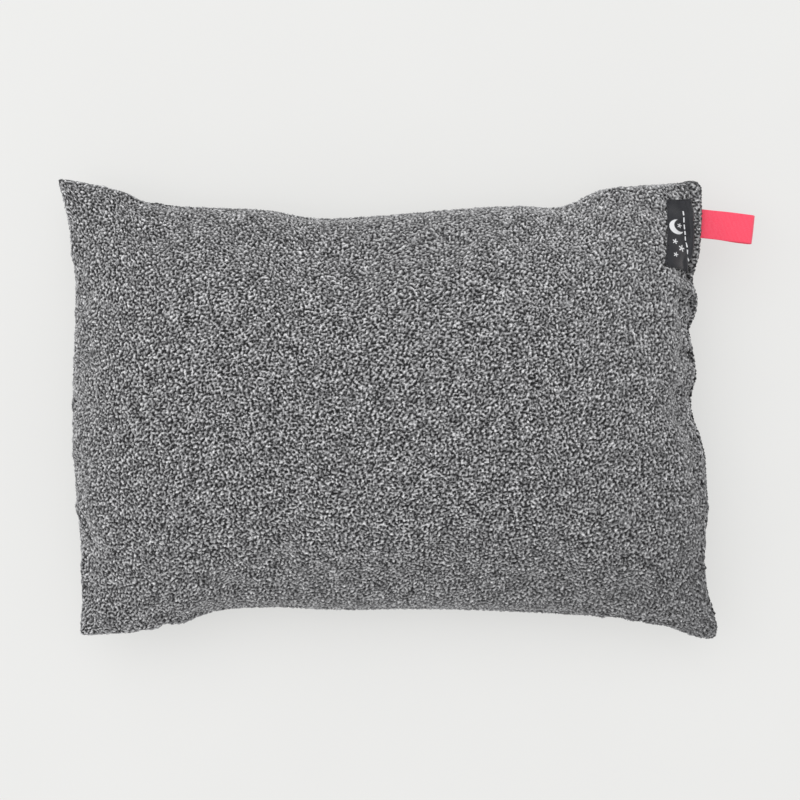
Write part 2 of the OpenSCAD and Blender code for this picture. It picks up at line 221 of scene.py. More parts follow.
def makePiece(name, points, faceSets, material, slotName, body="pillow", attributes={}, uv=None, bend=None):
    # Points are in millimetres. Each face set is an array of triangles or of quads.
    mesh = bpy.data.meshes.new(name)
    faceSets = [np.asarray(f, np.int32) for f in faceSets if len(f)]
    corners = np.concatenate([f.ravel() for f in faceSets])
    sizes = np.concatenate([np.full(len(f), f.shape[1], np.int32) for f in faceSets])
    starts = np.concatenate([[0], np.cumsum(sizes)[:-1]]).astype(np.int32)
    mesh.vertices.add(len(points))
    mesh.vertices.foreach_set("co", (np.asarray(points) * 0.001).astype(np.float32).ravel())
    mesh.loops.add(len(corners))
    mesh.loops.foreach_set("vertex_index", corners)
    mesh.polygons.add(len(sizes))
    mesh.polygons.foreach_set("loop_start", starts)
    mesh.polygons.foreach_set("use_smooth", np.ones(len(sizes), bool))
    mesh.update(calc_edges=True)
    for key, values in attributes.items():
        layer = mesh.attributes.new(key, "FLOAT", "POINT")
        layer.data.foreach_set("value", np.asarray(values, np.float32).ravel())
    if uv is not None:
        layer = mesh.uv_layers.new(name="weaveMap")
        layer.data.foreach_set("uv", np.asarray(uv, np.float32)[corners].ravel())
    piece = addObject(name, mesh)
    mesh.materials.append(material)
    if bend is None:
        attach(piece, body)
    else:
        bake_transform(piece)
    return piece


def ringNoise(rows, cols, step, shortest, longest, seed):
    # White noise whose waves are kept by a bell curve in the logarithm of their length, scaled to a spread of one.
    grains = np.random.default_rng(seed).standard_normal((rows, cols))
    waves = np.hypot(np.fft.fftfreq(rows, step)[:, None], np.fft.rfftfreq(cols, step)[None, :])
    middle = -0.5 * (math.log(shortest) + math.log(longest))
    spread = 0.5 * (math.log(longest) - math.log(shortest))
    keep = np.exp(-0.5 * ((np.log(np.maximum(waves, 1e-9)) - middle) / spread) ** 2 * 2)
    field = np.fft.irfft2(np.fft.rfft2(grains) * keep, s=(rows, cols))
    return field / field.std()


def readField(field, step, x, y):
    # Bilinear reading of a field that repeats, at places x and y in millimetres.
    rows, cols = field.shape
    x, y = x / step, y / step
    i, j = np.floor(x).astype(int), np.floor(y).astype(int)
    fx, fy = x - i, y - j
    i, j, i1, j1 = i % rows, j % cols, (i + 1) % rows, (j + 1) % cols
    return mix(mix(field[i, j], field[i1, j], fx), mix(field[i, j1], field[i1, j1], fx), fy)


def sideCurve(points, t):
    # Catmull-Rom curve through points at even steps, t from 0 to 1.
    points = np.asarray(points, float)
    n = len(points) - 1
    s = np.clip(t, 0, 1) * n
    i = np.minimum(s.astype(int), n - 1)
    return catmullRom(*(points[np.clip(i + k, 0, n)] for k in (-1, 0, 1, 2)), (s - i)[..., None])


def outlineAt(u, v):
    # Coons patch: the blend of opposite sides, added for both directions, less the blend of the four corners.
    u, v = np.broadcast_arrays(np.asarray(u, float), np.asarray(v, float))
    s, t = u[..., None], v[..., None]
    across = mix(sideCurve(bottomSide, u), sideCurve(topSide, u), t)
    along = mix(sideCurve(leftSide, v), sideCurve(rightSide, v), s)
    low, high = (mix(np.array(line[0]), np.array(line[-1]), s) for line in (bottomSide, topSide))
    return across + along - low * (1 - t) - high * t


# Radius of each ear's tip, with whether it lies at the right and at the top.
ears = ((3, True, True), (14, True, False), (7, False, True), (8, False, False))


def roundEars(u, v):
    # A square of side r in each corner becomes a quarter disc: x = p * sqrt(1 - q^2 / 2), y = q * sqrt(1 - p^2 / 2).
    for r, flipU, flipV in ears:
        p = 1 - (1 - u if flipU else u) * pillow["length"] / r
        q = 1 - (1 - v if flipV else v) * pillow["width"] / r
        near = (p > 0) & (q > 0)
        p, q = np.clip(p, 0, 1), np.clip(q, 0, 1)
        newU = (1 - p * np.sqrt(1 - q * q / 2)) * r / pillow["length"]
        newV = (1 - q * np.sqrt(1 - p * p / 2)) * r / pillow["width"]
        u = np.where(near, 1 - newU if flipU else newU, u)
        v = np.where(near, 1 - newV if flipV else newV, v)
    return u, v


def puff(t):
    # 1 in the middle and 0 at both ends: (1 - |2t - 1|^fullness)^softness.
    return np.maximum(0, 1 - np.abs(2 * t - 1) ** pillow["fullness"]) ** pillow["softness"]


def zipEnds(v):
    # 1 along the zip and 0 at the two corners; it stays open nearly to the upper one.
    return easeStep(np.minimum(v / 0.07, (1 - v) / 0.014))


def bell(y, middle, width):
    # exp(-((y - middle) / width)^2)
    return np.exp(-((y - middle) / width) ** 2)


def evenSteps(t, length, rise):
    # Places from 0 to 1 that are evenly apart along the padded profile, not along its plan.
    u = (1 - np.cos(np.linspace(0, math.pi, 4001))) / 2
    walked = np.concatenate([[0], np.cumsum(np.hypot(np.diff(u) * length, np.diff(puff(u)) * rise))])
    return np.interp(np.asarray(t) * walked[-1], walked, u)


def splineRows(t, knots):
    # Catmull-Rom weights as a matrix: a row for each t, a column for each of the knots at even steps from 0 to 1.
    s = np.clip(t, 0, 1) * (knots - 1)
    i = np.minimum(s.astype(int), knots - 2)
    f = s - i
    weights = [-f + 2 * f ** 2 - f ** 3, 2 - 5 * f ** 2 + 3 * f ** 3, f + 4 * f ** 2 - 3 * f ** 3, f ** 3 - f ** 2]
    rows = np.zeros((len(s), knots))
    for k, weight in zip((-1, 0, 1, 2), weights):
        np.add.at(rows, (np.arange(len(s)), np.clip(i + k, 0, knots - 1)), weight / 2)
    return rows


def gridNormals(points):
    # Cross product of the two directions of a grid, made one long.
    return unit(np.cross(np.gradient(points, axis=0), np.gradient(points, axis=1)))


def walkedLength(points):
    # Distance walked along each line of a grid, in both directions, from the middle line.
    rows = np.linalg.norm(np.diff(points, axis=0), axis=-1)
    cols = np.linalg.norm(np.diff(points, axis=1), axis=-1)
    x = np.pad(np.cumsum(rows, axis=0), ((1, 0), (0, 0)))
    y = np.pad(np.cumsum(cols, axis=1), ((0, 0), (1, 0)))
    return x - x[len(x) // 2], y - y[:, y.shape[1] // 2][:, None]


print("frame loaded, outline ready")


# The bag is swollen as cloth. Each panel is cut larger than its place in the seam, so it puckers along the seam.
bag = dict(
    stepsX=88, stepsY=64, extra=0.075, pressure=4, frames=20, cap=8, dent=2, stiffness=12, bending=0.6,
    earHeld=8, earReach=75,
)


def panelBase(a, b, side):
    # Tensor grid of places a by b; height above the seam is rise * puff(u) * puff(v), below it for the back.
    u = evenSteps(a, pillow["length"], pillow["walkRise"])
    v = evenSteps(b, pillow["width"], pillow["walkRise"])
    u, v = np.meshgrid(u, v, indexing="ij")
    rise = pillow["frontRise"] if side > 0 else -pillow["backDrop"]
    plan = outlineAt(*roundEars(u, v))
    return np.dstack([plan, pillow["seamHeight"] + rise * puff(u) * puff(v)]), u, v


def swellBag():
    n, m = bag["stepsX"] + 1, bag["stepsY"] + 1
    places = np.linspace(0, 1, n), np.linspace(0, 1, m)
    front, back = (panelBase(*places, side)[0] for side in (1, -1))
    # the back panel shares the front's edge points, so the bag is closed
    used, faces = bagFaces(n, m)
    both = np.concatenate([front.reshape(-1, 3), back.reshape(-1, 3)])
    mesh = bpy.data.meshes.new("clothBag")
    mesh.from_pydata((both[used] * 0.001).tolist(), [], faces.tolist())
    mesh.update()
    cloth = addObject("clothBag", mesh)
    seam = cloth.vertex_groups.new(name="seam")
    seam.add([int(k) for k in np.searchsorted(used, borderLoop(n, m))], 1.0, "REPLACE")
    modifier = cloth.modifiers.new("cloth", "CLOTH")
    settings = modifier.settings
    settings.quality = 6
    settings.mass = 0.25
    settings.use_pressure = True
    settings.uniform_pressure_force = bag["pressure"]
    settings.tension_stiffness = settings.compression_stiffness = bag["stiffness"]
    settings.shear_stiffness = bag["stiffness"] / 2
    settings.bending_stiffness = bag["bending"]
    settings.shrink_min = -bag["extra"]
    settings.vertex_group_mass = "seam"
    settings.effector_weights.gravity = 0
    modifier.collision_settings.use_collision = False
    modifier.point_cache.frame_start = 1
    modifier.point_cache.frame_end = bag["frames"]
    for number in range(1, bag["frames"] + 1):
        scene.frame_set(number)
    swollen = cloth.evaluated_get(bpy.context.evaluated_depsgraph_get())
    result = np.empty(len(used) * 3, np.float32)
    swollen.data.vertices.foreach_get("co", result)
    moved = np.zeros((2 * n * m, 3))
    moved[used] = result.reshape(-1, 3) * 1000 - both[used]
    bpy.data.objects.remove(cloth)
    scene.frame_set(1)
    # soft cap: a long move d becomes d * cap / sqrt(cap^2 + |d|^2)
    size = np.linalg.norm(moved, axis=1, keepdims=True)
    moved *= bag["cap"] / np.sqrt(bag["cap"] ** 2 + size ** 2)
    # the four ears are sewn narrow and hold no filling, so they keep their shape
    u, v = panelBase(*places, 1)[1:]
    fromEar = np.hypot(np.minimum(u, 1 - u) * pillow["length"], np.minimum(v, 1 - v) * pillow["width"])
    filled = easeStep((fromEar - bag["earHeld"]) / bag["earReach"])[..., None]
    kept = []
    for start, moves, side in ((front, moved[:n * m], 1), (back, moved[n * m:], -1)):
        # the filling holds the cloth up, so a dent d becomes dent * tanh(d / dent) along the normal
        normal = gridNormals(start) * side
        moves = moves.reshape(n, m, 3)
        outward = (moves * normal).sum(-1, keepdims=True)
        held = np.where(outward < 0, bag["dent"] * np.tanh(outward / bag["dent"]), outward)
        kept.append((moves + (held - outward) * normal) * filled)
    return kept


coarseGrid = (bag["stepsX"] + 1, bag["stepsY"] + 1, 3)
frontMoves, backMoves = swellBag()
print("bag swollen, largest move %.1f mm" % np.abs(frontMoves).max())


# Slack on the zip side: the lip waves along its length, more where the panel is held by no padding.
lip = dict(
    wave=0.7, waveLength=46, pucker=0.7, puckerLength=17, shut=2.6, flatter=4.5,
    atLabel=6.2, labelFrom=77, gaps=((69, 5.9), (31, 3.8)), gapWidth=6,
)
slack = dict(fromY=-170, toY=160, amounts=[
    4.2, 3.4, 1.1, -2.6, -4.9, -4.9, -4.9, -3.7, -1.2, -0.1, 0, 0, -0.6, -2.3, -4.8, -6.5,
    -6.4, -2.8, -3.3, -5.2, -7.2, -3.3, -1.9, -5.0, -3.2, -1.6, -0.9, -0.8, -0.7, -0.7, -0.7,
])


def sideSlack(y):
    # A smooth curve through the amounts by which the zipped side draws in or stands out, every 11 mm along it.
    place = (y - slack["fromY"]) / (slack["toY"] - slack["fromY"])
    return sideCurve(np.array(slack["amounts"])[:, None], place)[..., 0]


def lipPull(y):
    # How far the lip stands back from the side: open by the label and at two places below it, shut elsewhere.
    openings = sum(size * bell(y, middle, lip["gapWidth"]) for middle, size in lip["gaps"])
    return lip["shut"] + lip["atLabel"] * easeStep((y - lip["labelFrom"]) / 9) + openings


def lipHeight(v, y):
    # The lip stands over the zip, and comes down to the strip past the zip's upper end.
    return pillow["zipRise"] * zipEnds(v) * (1 - 0.4 * easeStep((y - pillow["chainHigh"] - 8) / 12))


def swollenBase(a, b, side):
    # The padded form plus the cloth's own moves, read between the points of the coarse grid.
    points, u, v = panelBase(a, b, side)
    moves = frontMoves if side > 0 else backMoves
    rows, cols = splineRows(a, coarseGrid[0]), splineRows(b, coarseGrid[1])
    return points + np.einsum("ik,kld,jl->ijd", rows, moves, cols, optimize=True), u, v


def panelShape(a, b, side):
    # The swollen form, drawn in or out on the zip side, plus the lip that stands over the zip.
    points, u, v = swollenBase(a, b, side)
    # the crown comes back to its cut height after the swelling
    over = points[..., 2] - pillow["seamHeight"]
    points[..., 2] = pillow["seamHeight"] + over * shapeScale[side]
    y = points[..., 1].copy()
    points[..., 0] += u ** 12 * sideSlack(y)
    # the lower right ear is stuffed fuller
    points[..., 1] -= 2.6 * (1 - v) ** 12 * bell(points[..., 0], 212, 16)
    if side > 0:
        edge = zipEnds(v) * u ** 10
        wave = lip["wave"] * np.sin(2 * math.pi * y / lip["waveLength"] + 0.9 * np.sin(y / 31)) \
            + lip["pucker"] * np.sin(2 * math.pi * y / lip["puckerLength"] + 1.7 * np.sin(y / 19))
        points[..., 0] -= edge * 0.55 * wave + zipEnds(v) * easeStep((u - 0.9) / 0.1) * lipPull(y)
        # the zip holds the lip flatter for its first 25 mm
        inward = (1 - u) * pillow["length"]
        flatter = lip["flatter"] * bell(inward, 13, 9) * easeStep(inward / 6) * zipEnds(v)
        points[..., 2] += u ** 10 * lipHeight(v, y) + 0.5 * zipEnds(v) * u ** 24 * wave - flatter
    else:
        points[..., 2] = np.maximum(points[..., 2], 0)
    return points, u, v


shapeScale = {}
for side, allowed in ((1, pillow["frontRise"] - 1), (-1, pillow["backDrop"])):
    probe = swollenBase(np.linspace(0, 1, 120), np.linspace(0, 1, 90), side)[0]
    shapeScale[side] = min(1, allowed / np.abs(probe[..., 2] - pillow["seamHeight"]).max())

# Curly pile of a boucle fleece. Sizes in millimetres.
pile = dict(
    deep=1.7, proud=0.35, sharp=1.0, fieldStep=0.35, fieldCount=1600,
    curls=(1.5, 7.2), worms=(1.5 * 1.5, 7.2 * 1.5), tones=(9, 40),
)
curlField, wormField, toneField = (
    ringNoise(pile["fieldCount"], pile["fieldCount"], pile["fieldStep"], *pile[kind], seed)
    for kind, seed in (("curls", 11), ("worms", 12), ("tones", 13)))


def pileHeight(x, y):
    # Curls: a soft step of short waves, mixed with thin ridges where longer waves cross zero.
    curls = 0.5 + 0.5 * np.tanh(pile["sharp"] * readField(curlField, pile["fieldStep"], x, y))
    worms = np.exp(-(readField(wormField, pile["fieldStep"], x, y) / 0.5) ** 2)
    return 0.72 * curls + 0.28 * worms


def panelAt(u, v, side):
    # The padded panel at chosen places: the steps that evenSteps gives are undone first.
    places = np.linspace(0, 1, 4001)
    a = np.interp(u, evenSteps(places, pillow["length"], pillow["walkRise"]), places)
    b = np.interp(v, evenSteps(places, pillow["width"], pillow["walkRise"]), places)
    return panelShape(a, b, side)[0]


def coverPanel(name, node, side, stepsX, stepsY):
    # Outside on a fine grid; the inside is a grid eight times coarser, joined to it across the seam allowance.
    fine = 8
    n, m = stepsX * fine + 1, stepsY * fine + 1
    outside, u, v = panelShape(np.linspace(0, 1, n), np.linspace(0, 1, m), side)
    normal = gridNormals(outside) * side
    x, y = walkedLength(outside)
    height = pileHeight(x + 200 * (side < 0), y)
    lift = -pile["deep"] + (pile["deep"] + pile["proud"]) * height
    outside = outside + normal * lift[..., None]
    if side < 0:
        # pressed flat where it lies on the ground
        outside[..., 2] = np.maximum(outside[..., 2], 0.02 + 0.9 * (1 - height) * (outside[..., 2] < 1.5))
    # inside: allowance turned in all round, then up under the panel
    inX, inY = pillow["allowance"] / pillow["length"], pillow["allowance"] / pillow["width"]
    c, d = stepsX + 1, stepsY + 1
    base, cu, cv = panelBase(np.linspace(0, 1, c), np.linspace(0, 1, d), side)
    iu, iv = inX + (1 - 2 * inX) * cu, inY + (1 - 2 * inY) * cv
    over = panelAt(iu[:, 0], iv[0], side)
    plan = over[..., :2]
    slope = np.maximum(np.abs(gridNormals(over)[..., 2]), 0.25)
    above = side * over[..., 2] - (pillow["fleeceThick"] + 0.8) / slope
    near = np.pad(above, 1, mode="edge")
    beside = [near[2:, 1:-1], near[:-2, 1:-1], near[1:-1, 2:], near[1:-1, :-2]]
    above = side * np.minimum.reduce([near[1:-1, 1:-1]] + beside)
    above = side * np.maximum(side * above, side * pillow["seamHeight"] + pillow["turnGap"])
    edge = zipEnds(iv) * cu ** 10 if side > 0 else 0 * cu
    thick = pillow["fleeceThick"] / pillow["frontRise"] if side > 0 else 0.1
    insideZ = base[..., 2] - (base[..., 2] - pillow["seamHeight"]) * thick + side * pillow["turnGap"]
    if side > 0:
        insideZ += cu ** 10 * lipHeight(iv, plan[..., 1])
    insideZ = side * np.minimum(side * insideZ, side * above)
    if side < 0:
        insideZ = np.maximum(insideZ, pillow["fleeceThick"])
    lipX = plan[..., 0] - edge * np.maximum(0, plan[..., 0] - pillow["tapeFace"] - 0.2)
    inside = np.dstack([lipX, plan[..., 1], insideZ])
    outsideLoop = borderLoop(n, m)
    insideLoop = borderLoop(c, d) + n * m
    count = len(insideLoop)
    k = np.arange(len(outsideLoop))
    nextOutside = np.roll(outsideLoop, -1)
    nearest = insideLoop[((k + fine // 2) // fine) % count]
    fans = np.stack([outsideLoop, nearest, nextOutside], -1)
    turn = np.arange(count) * fine + fine // 2
    links = np.stack([outsideLoop[turn], insideLoop, np.roll(insideLoop, -1)], -1)
    sets = [gridFaces(n, m), gridFaces(c, d, n * m)[:, ::-1], fans, links]
    points = np.concatenate([outside.reshape(-1, 3), inside.reshape(-1, 3)])
    tone = readField(toneField, pile["fieldStep"], x + 60, y + 30)
    # painted light: the pile's contrast, and with it the painted shade between the curls, is lowered towards the foot
    # and the zipped end; the zipped end is also painted lighter towards the top and darker towards the foot
    wearAndPaintedShadeFade = 1 - 0.28 * easeStep((u - 0.55) / 0.45) * (1 - 0.4 * v) - 0.16 * easeStep((0.35 - v) / 0.35)
    paintedLightAndShadeRight = 0.07 * (v - 0.45) * easeStep((u - 0.45) / 0.4)
    pileValues = np.concatenate([(0.5 + (height - 0.5) * wearAndPaintedShadeFade + paintedLightAndShadeRight).ravel(), np.full(c * d, 0.35)])
    toneValues = np.concatenate([tone.ravel(), np.zeros(c * d)])
    piece = makePiece(name, points, flipped(sets) if side < 0 else sets, fleece, "fleece",
                      attributes={"pile": pileValues, "tone": toneValues})
    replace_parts(piece, node)


# Boucle fleece, knitted polyester: loose curls of light grey fibre over a charcoal ground, with no shine but a soft
# fibre glow at grazing angles. Its colour follows the height of the pile, so the dark of the hollows between curls is
# partly the charcoal ground and partly painted shade.
fleeceLook = dict(
    ramp=[(0.0, "#101011"), (0.25, "#2f2f30"), (0.5, "#737374"), (0.75, "#b9b9ba"), (1.0, "#f2f2f3")],
    fibreSize=1.9, toneShare=0.03,
)
fleece, tree, surface, place = newMaterial("boucleFleece", {
    "Roughness": 0.95, "Specular IOR Level": 0.12, "Sheen Weight": 0.18, "Sheen Roughness": 0.6,
})
height = addNode(tree, "Attribute", {"attribute_name": "pile"})
tone = addNode(tree, "Attribute", {"attribute_name": "tone"})
# single fibres are finer than 0.02 mm, so tufts of them are drawn, down from 1.9 mm across
tufts = addNode(tree, "TexNoise", {"Scale": 1000 / fleeceLook["fibreSize"], "Detail": 3.0, "Roughness": 0.6},
                {"Vector": place.outputs["Object"]})
spread = addNode(tree, "Math", {"operation": "MULTIPLY_ADD", 1: 0.9, 2: -0.45}, {0: tufts.outputs["Fac"]})
slow = addNode(tree, "Math", {"operation": "MULTIPLY", 1: fleeceLook["toneShare"]}, {0: tone.outputs["Fac"]})
mixed = addNode(tree, "Math", {"operation": "ADD"}, {0: height.outputs["Fac"], 1: spread.outputs["Value"]})
total = addNode(tree, "Math", {"operation": "ADD", "use_clamp": True},
                {0: mixed.outputs["Value"], 1: slow.outputs["Value"]})
# colour over the pile's height: the near-black low end is painted shade in the hollows as well as the charcoal ground
dressSurface(tree, surface, total.outputs["Value"], fleeceLook["ramp"], total.outputs["Value"], 0.6, 0.4)

coverSteps = dict(front=(84, 60), back=(56, 40))
coverPanel("coverFront", "cover_front", 1, *coverSteps["front"])
print("front panel made")
coverPanel("coverBack", "cover_back", -1, *coverSteps["back"])
print("back panel made")


# Fleece strip between the zip and the side seam.
strip = dict(rows=620, around=44, low=47.4, height=7.6, least=1.4, fromV=0.045, toV=0.996, roundness=2.6)


def facingStrip():
    # A rounded flat profile, |x|^p + |z|^p = 1, carried along the side seam and drawn together at both ends.
    t = np.linspace(0, 1, strip["rows"])
    v = strip["fromV"] + (strip["toV"] - strip["fromV"]) * t
    right = outlineAt(np.ones_like(v), v)
    tall = np.maximum(strip["least"], strip["height"] * easeStep(np.minimum((v - 0.03) / 0.1, (1 - v) / 0.008)))
    angle = np.linspace(0, 2 * math.pi, strip["around"], endpoint=False)
    power = 2 / strip["roundness"]
    cx = np.sign(np.cos(angle)) * np.abs(np.cos(angle)) ** power
    cz = np.sign(np.sin(angle)) * np.abs(np.sin(angle)) ** power
    shut = np.minimum(1, np.minimum(t, 1 - t) * 60 + 0.02) ** 0.5
    right = right + np.stack([sideSlack(right[:, 1]), 0 * v], -1)
    middle, half = (right[:, 0] + pillow["tapeFace"]) / 2, (right[:, 0] - pillow["tapeFace"]) / 2
    inward = easeStep((np.minimum(v, 1 - v) - 0.05) / 0.1)
    sway = 0.6 * np.sin(right[:, 1] / 7.3 + 1.1 * np.sin(right[:, 1] / 17)) * inward
    x = middle[:, None] + half[:, None] * cx * shut[:, None] + np.maximum(cx, 0) * sway[:, None] * 0.6
    z = strip["low"] + tall[:, None] / 2 * (1 + cz * shut[:, None]) + np.maximum(cz, 0) * sway[:, None] * 0.5
    # a hollow runs along it between the zip and its outer part, which stands up as a ridge
    z = z - 4 * np.maximum(cz, 0) * bell(x, 211.5, 3) * easeStep((right[:, 1:] - pillow["chainLow"]) / 8)
    points = np.dstack([x, np.broadcast_to(right[:, 1][:, None], x.shape), z])
    ringed = np.concatenate([points[:, -1:], points, points[:, :1]], 1)
    normal = -gridNormals(ringed)[:, 1:-1]
    s = np.cumsum(np.linalg.norm(points[:, 1:] - points[:, :-1], axis=-1), 1)
    s = np.pad(s, ((0, 0), (1, 0)))
    height = pileHeight(s + 333, np.broadcast_to(right[:, 1][:, None], s.shape) + 77)
    cover = np.maximum(cx, 0) + np.maximum(cz, 0)
    lift = (-1.1 + 1.3 * height) * np.minimum(1, cover * 2)
    points = points + normal * lift[..., None]
    # the pile's height also sets the strip's colour: its dark low end is partly the charcoal ground and partly painted
    # shade in the hollows
    piece = makePiece("facingStrip", *closedTube(points, flip=True), fleece, "fleece",
                      attributes={"pile": np.append(height.ravel(), [0.4, 0.4]), "tone": np.zeros(height.size + 2)})
    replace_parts(piece, "zip_facing_strip")


facingStrip()
print("facing strip made")


def sweepAlongY(profile, y, sway=None):
    # A closed profile of X and Z carried along Y; sway gives each station's shift in X and Z.
    sway = np.zeros((len(y), 2)) if sway is None else sway
    points = np.empty((len(y), len(profile), 3))
    points[..., 0] = profile[None, :, 0] + sway[:, :1]
    points[..., 1] = y[:, None]
    points[..., 2] = profile[None, :, 1] + sway[:, 1:]
    return points


def alongAndAcross(line):
    # Direction of a flat line and the direction to its left, each one long.
    along = unit(np.gradient(line, axis=0))
    return along, np.stack([-along[:, 1], along[:, 0]], -1)


def bandProfile(line, thickness, cornerSteps=4):
    # A line in X and Z given a thickness, with half-round edges: each side is the line moved by half of it.
    along, across = alongAndAcross(line)
    turn = np.linspace(0, math.pi, cornerSteps + 2)[1:-1, None]
    start = line[0] + thickness / 2 * (-across[0] * np.cos(turn) - along[0] * np.sin(turn))
    end = line[-1] + thickness / 2 * (across[-1] * np.cos(turn) + along[-1] * np.sin(turn))
    return np.concatenate([line + across * thickness / 2, end, (line - across * thickness / 2)[::-1], start])


def stitchRow(starts, ends, radius, out, rings=5, sides=6):
    # Each stitch is a thread whose radius is r * sin(angle)^0.4 along it; its middle stands out by a small arch.
    along = unit(ends - starts)
    out = unit(out - along * (out * along).sum(1, keepdims=True))
    side = np.cross(along, out)
    t = np.linspace(0.06, 0.94, rings)
    r = radius * np.sin(math.pi * t) ** 0.4
    angle = np.arange(sides) * 2 * math.pi / sides
    arch = 0.35 * radius * np.sin(math.pi * t)
    spine = starts[:, None] + (ends - starts)[:, None] * t[None, :, None] + out[:, None] * arch[None, :, None]
    ring = out[:, None, None] * np.cos(angle)[:, None] + side[:, None, None] * np.sin(angle)[:, None]
    points = spine[:, :, None] + ring * r[None, :, None, None]
    block = rings * sides + 2
    everything = np.concatenate([points.reshape(len(starts), -1, 3), starts[:, None], ends[:, None]], 1)
    firsts = (np.arange(len(starts)) * block)[:, None, None]
    quads = (gridFaces(rings, sides, closedCols=True)[:, ::-1][None] + firsts).reshape(-1, 4)
    fans = (capFaces(rings, sides)[None] + firsts).reshape(-1, 3)
    return everything.reshape(-1, 3), [quads, fans]


def wireAlong(path, normal, radius, sides=5, closed=False):
    # A round wire: path + radius * (normal * cos + side * sin), side being the direction crossed with the normal.
    along = unit(np.roll(path, -1, 0) - np.roll(path, 1, 0) if closed else np.gradient(path, axis=0))
    normal = unit(normal - along * (normal * along).sum(1, keepdims=True))
    side = np.cross(along, normal)
    angle = (np.arange(sides) * 2 * math.pi / sides)[:, None]
    points = path[:, None] + radius * (normal[:, None] * np.cos(angle) + side[:, None] * np.sin(angle))
    if closed:
        return points.reshape(-1, 3), [gridFaces(len(path), sides, closedRows=True, closedCols=True)[:, ::-1]]
    return closedTube(points)


def wovenFinish(name, colours, threadX, threadY, roughness, depth, sheen=0.2, coordinate="UV"):
    # Plain weave: the product of two sine waves a thread apart gives over and under, as colour and as bump.
    material, tree, surface, place = newMaterial(name, {
        "Roughness": roughness, "Sheen Weight": sheen, "Sheen Roughness": 0.5, "Specular IOR Level": 0.3,
    })
    axes = addNode(tree, "SeparateXYZ", {}, {"Vector": place.outputs[coordinate]})
    crossing = []
    for axis, pitch in (("X", threadX), ("Y", threadY)):
        turns = {"operation": "MULTIPLY", 1: math.pi * 1000 / pitch}
        scaled = addNode(tree, "Math", turns, {0: axes.outputs[axis]})
        crossing.append(addNode(tree, "Math", {"operation": "SINE"}, {0: scaled.outputs["Value"]}).outputs["Value"])
    weave = addNode(tree, "Math", {"operation": "MULTIPLY"}, dict(enumerate(crossing)))
    height = addNode(tree, "Math", {"operation": "MULTIPLY_ADD", 1: 0.5, 2: 0.5}, {0: weave.outputs["Value"]})
    slub = addNode(tree, "TexNoise", {"Scale": 900.0, "Detail": 2.0}, {"Vector": place.outputs["Object"]})
    mixed = addNode(tree, "Math", {"operation": "MULTIPLY_ADD", 1: 0.6},
                    {0: height.outputs["Value"], 2: slub.outputs["Fac"]})
    dressSurface(tree, surface, mixed.outputs["Value"], [(0.3, colours[0]), (1.0, colours[1])],
                 height.outputs["Value"], 0.7, depth)
    return material, tree, surface


def threadFinish(name, colours, twist=0.6):
    # Spun polyester thread: matt, with the slanting twist of its plies drawn 0.6 mm apart.
    material, tree, surface, place = newMaterial(name, {
        "Roughness": 0.75, "Sheen Weight": 0.25, "Specular IOR Level": 0.25,
    })
    bands = {"bands_direction": "DIAGONAL", "Scale": 1000 / twist / 6.28, "Distortion": 1.5}
    plies = addNode(tree, "TexWave", bands, {"Vector": place.outputs["Object"]}).outputs["Fac"]
    dressSurface(tree, surface, plies, [(0.1, colours[0]), (0.8, colours[1])], plies, 0.5, 0.1)
    return material


# Woven damask label, polyester satin: a near-black ground with a faint diagonal rib, and a white motif of floating
# threads that stands up a little.
label = dict(
    u=(0.915, 0.998), v=(0.9505 - 50 / 322, 0.9505), tall=50, slant=0.3, corner=5.5, gap=0.8, thick=0.6,
    rows=100, cols=210, cushion=0.35, ripple=0.12,
    moonAt=(10.6, 31), moonSize=5.4, moonBite=(2.6, 1.3, 4.5),
    stars=((12.6, 32.3, 1.8), (8.0, 20.5, 1.9), (12.2, 16, 2.4), (7.6, 11.5, 1.6)),
    dashAt=17.4, dashFrom=7.5, dashEvery=4.4, dashes=8, ground=("#17181b", "#2a2b30"), thread="#e9eaec",
)
labelCloth, tree, surface = wovenFinish("damaskLabel", label["ground"], 0.42, 0.42, 0.5, 0.12, 0.15)
motif = addNode(tree, "Attribute", {"attribute_name": "motif"})
under = surface.inputs["Base Color"].links[0].from_socket
shown = addNode(tree, "Mix", {"data_type": "RGBA", 7: linearColour(label["thread"])},
                {0: motif.outputs["Fac"], 6: under})
tree.links.new(shown.outputs[2], surface.inputs["Base Color"])


def softEdge(inside, width=0.22):
    # 1 inside, 0 outside, over a width in millimetres.
    return np.clip(inside / width + 0.5, 0, 1)


def labelMotif(x, y):
    # A crescent (one disc less another), four stars and a column of plain dashes.
    mx, my = label["moonAt"]
    bx, by, br = label["moonBite"]
    image = softEdge(label["moonSize"] - np.hypot(x - mx, y - my)) * softEdge(np.hypot(x - mx - bx, y - my - by) - br)
    for sx, sy, size in label["stars"]:
        # five points: the edge is nearer the middle between them, by a cosine of five times the angle
        edge = size * (0.62 + 0.38 * np.cos(5 * np.arctan2(y - sy, x - sx)))
        image = np.maximum(image, softEdge(edge - np.hypot(x - sx, y - sy)))
    y, every = y - label["dashFrom"], label["dashEvery"]
    beat = softEdge(1.5 - np.abs(y % every - every / 2), 0.2) * (y > 0) * (y < every * label["dashes"])
    return np.maximum(image, softEdge(0.7 - np.abs(x - label["dashAt"]), 0.2) * beat)


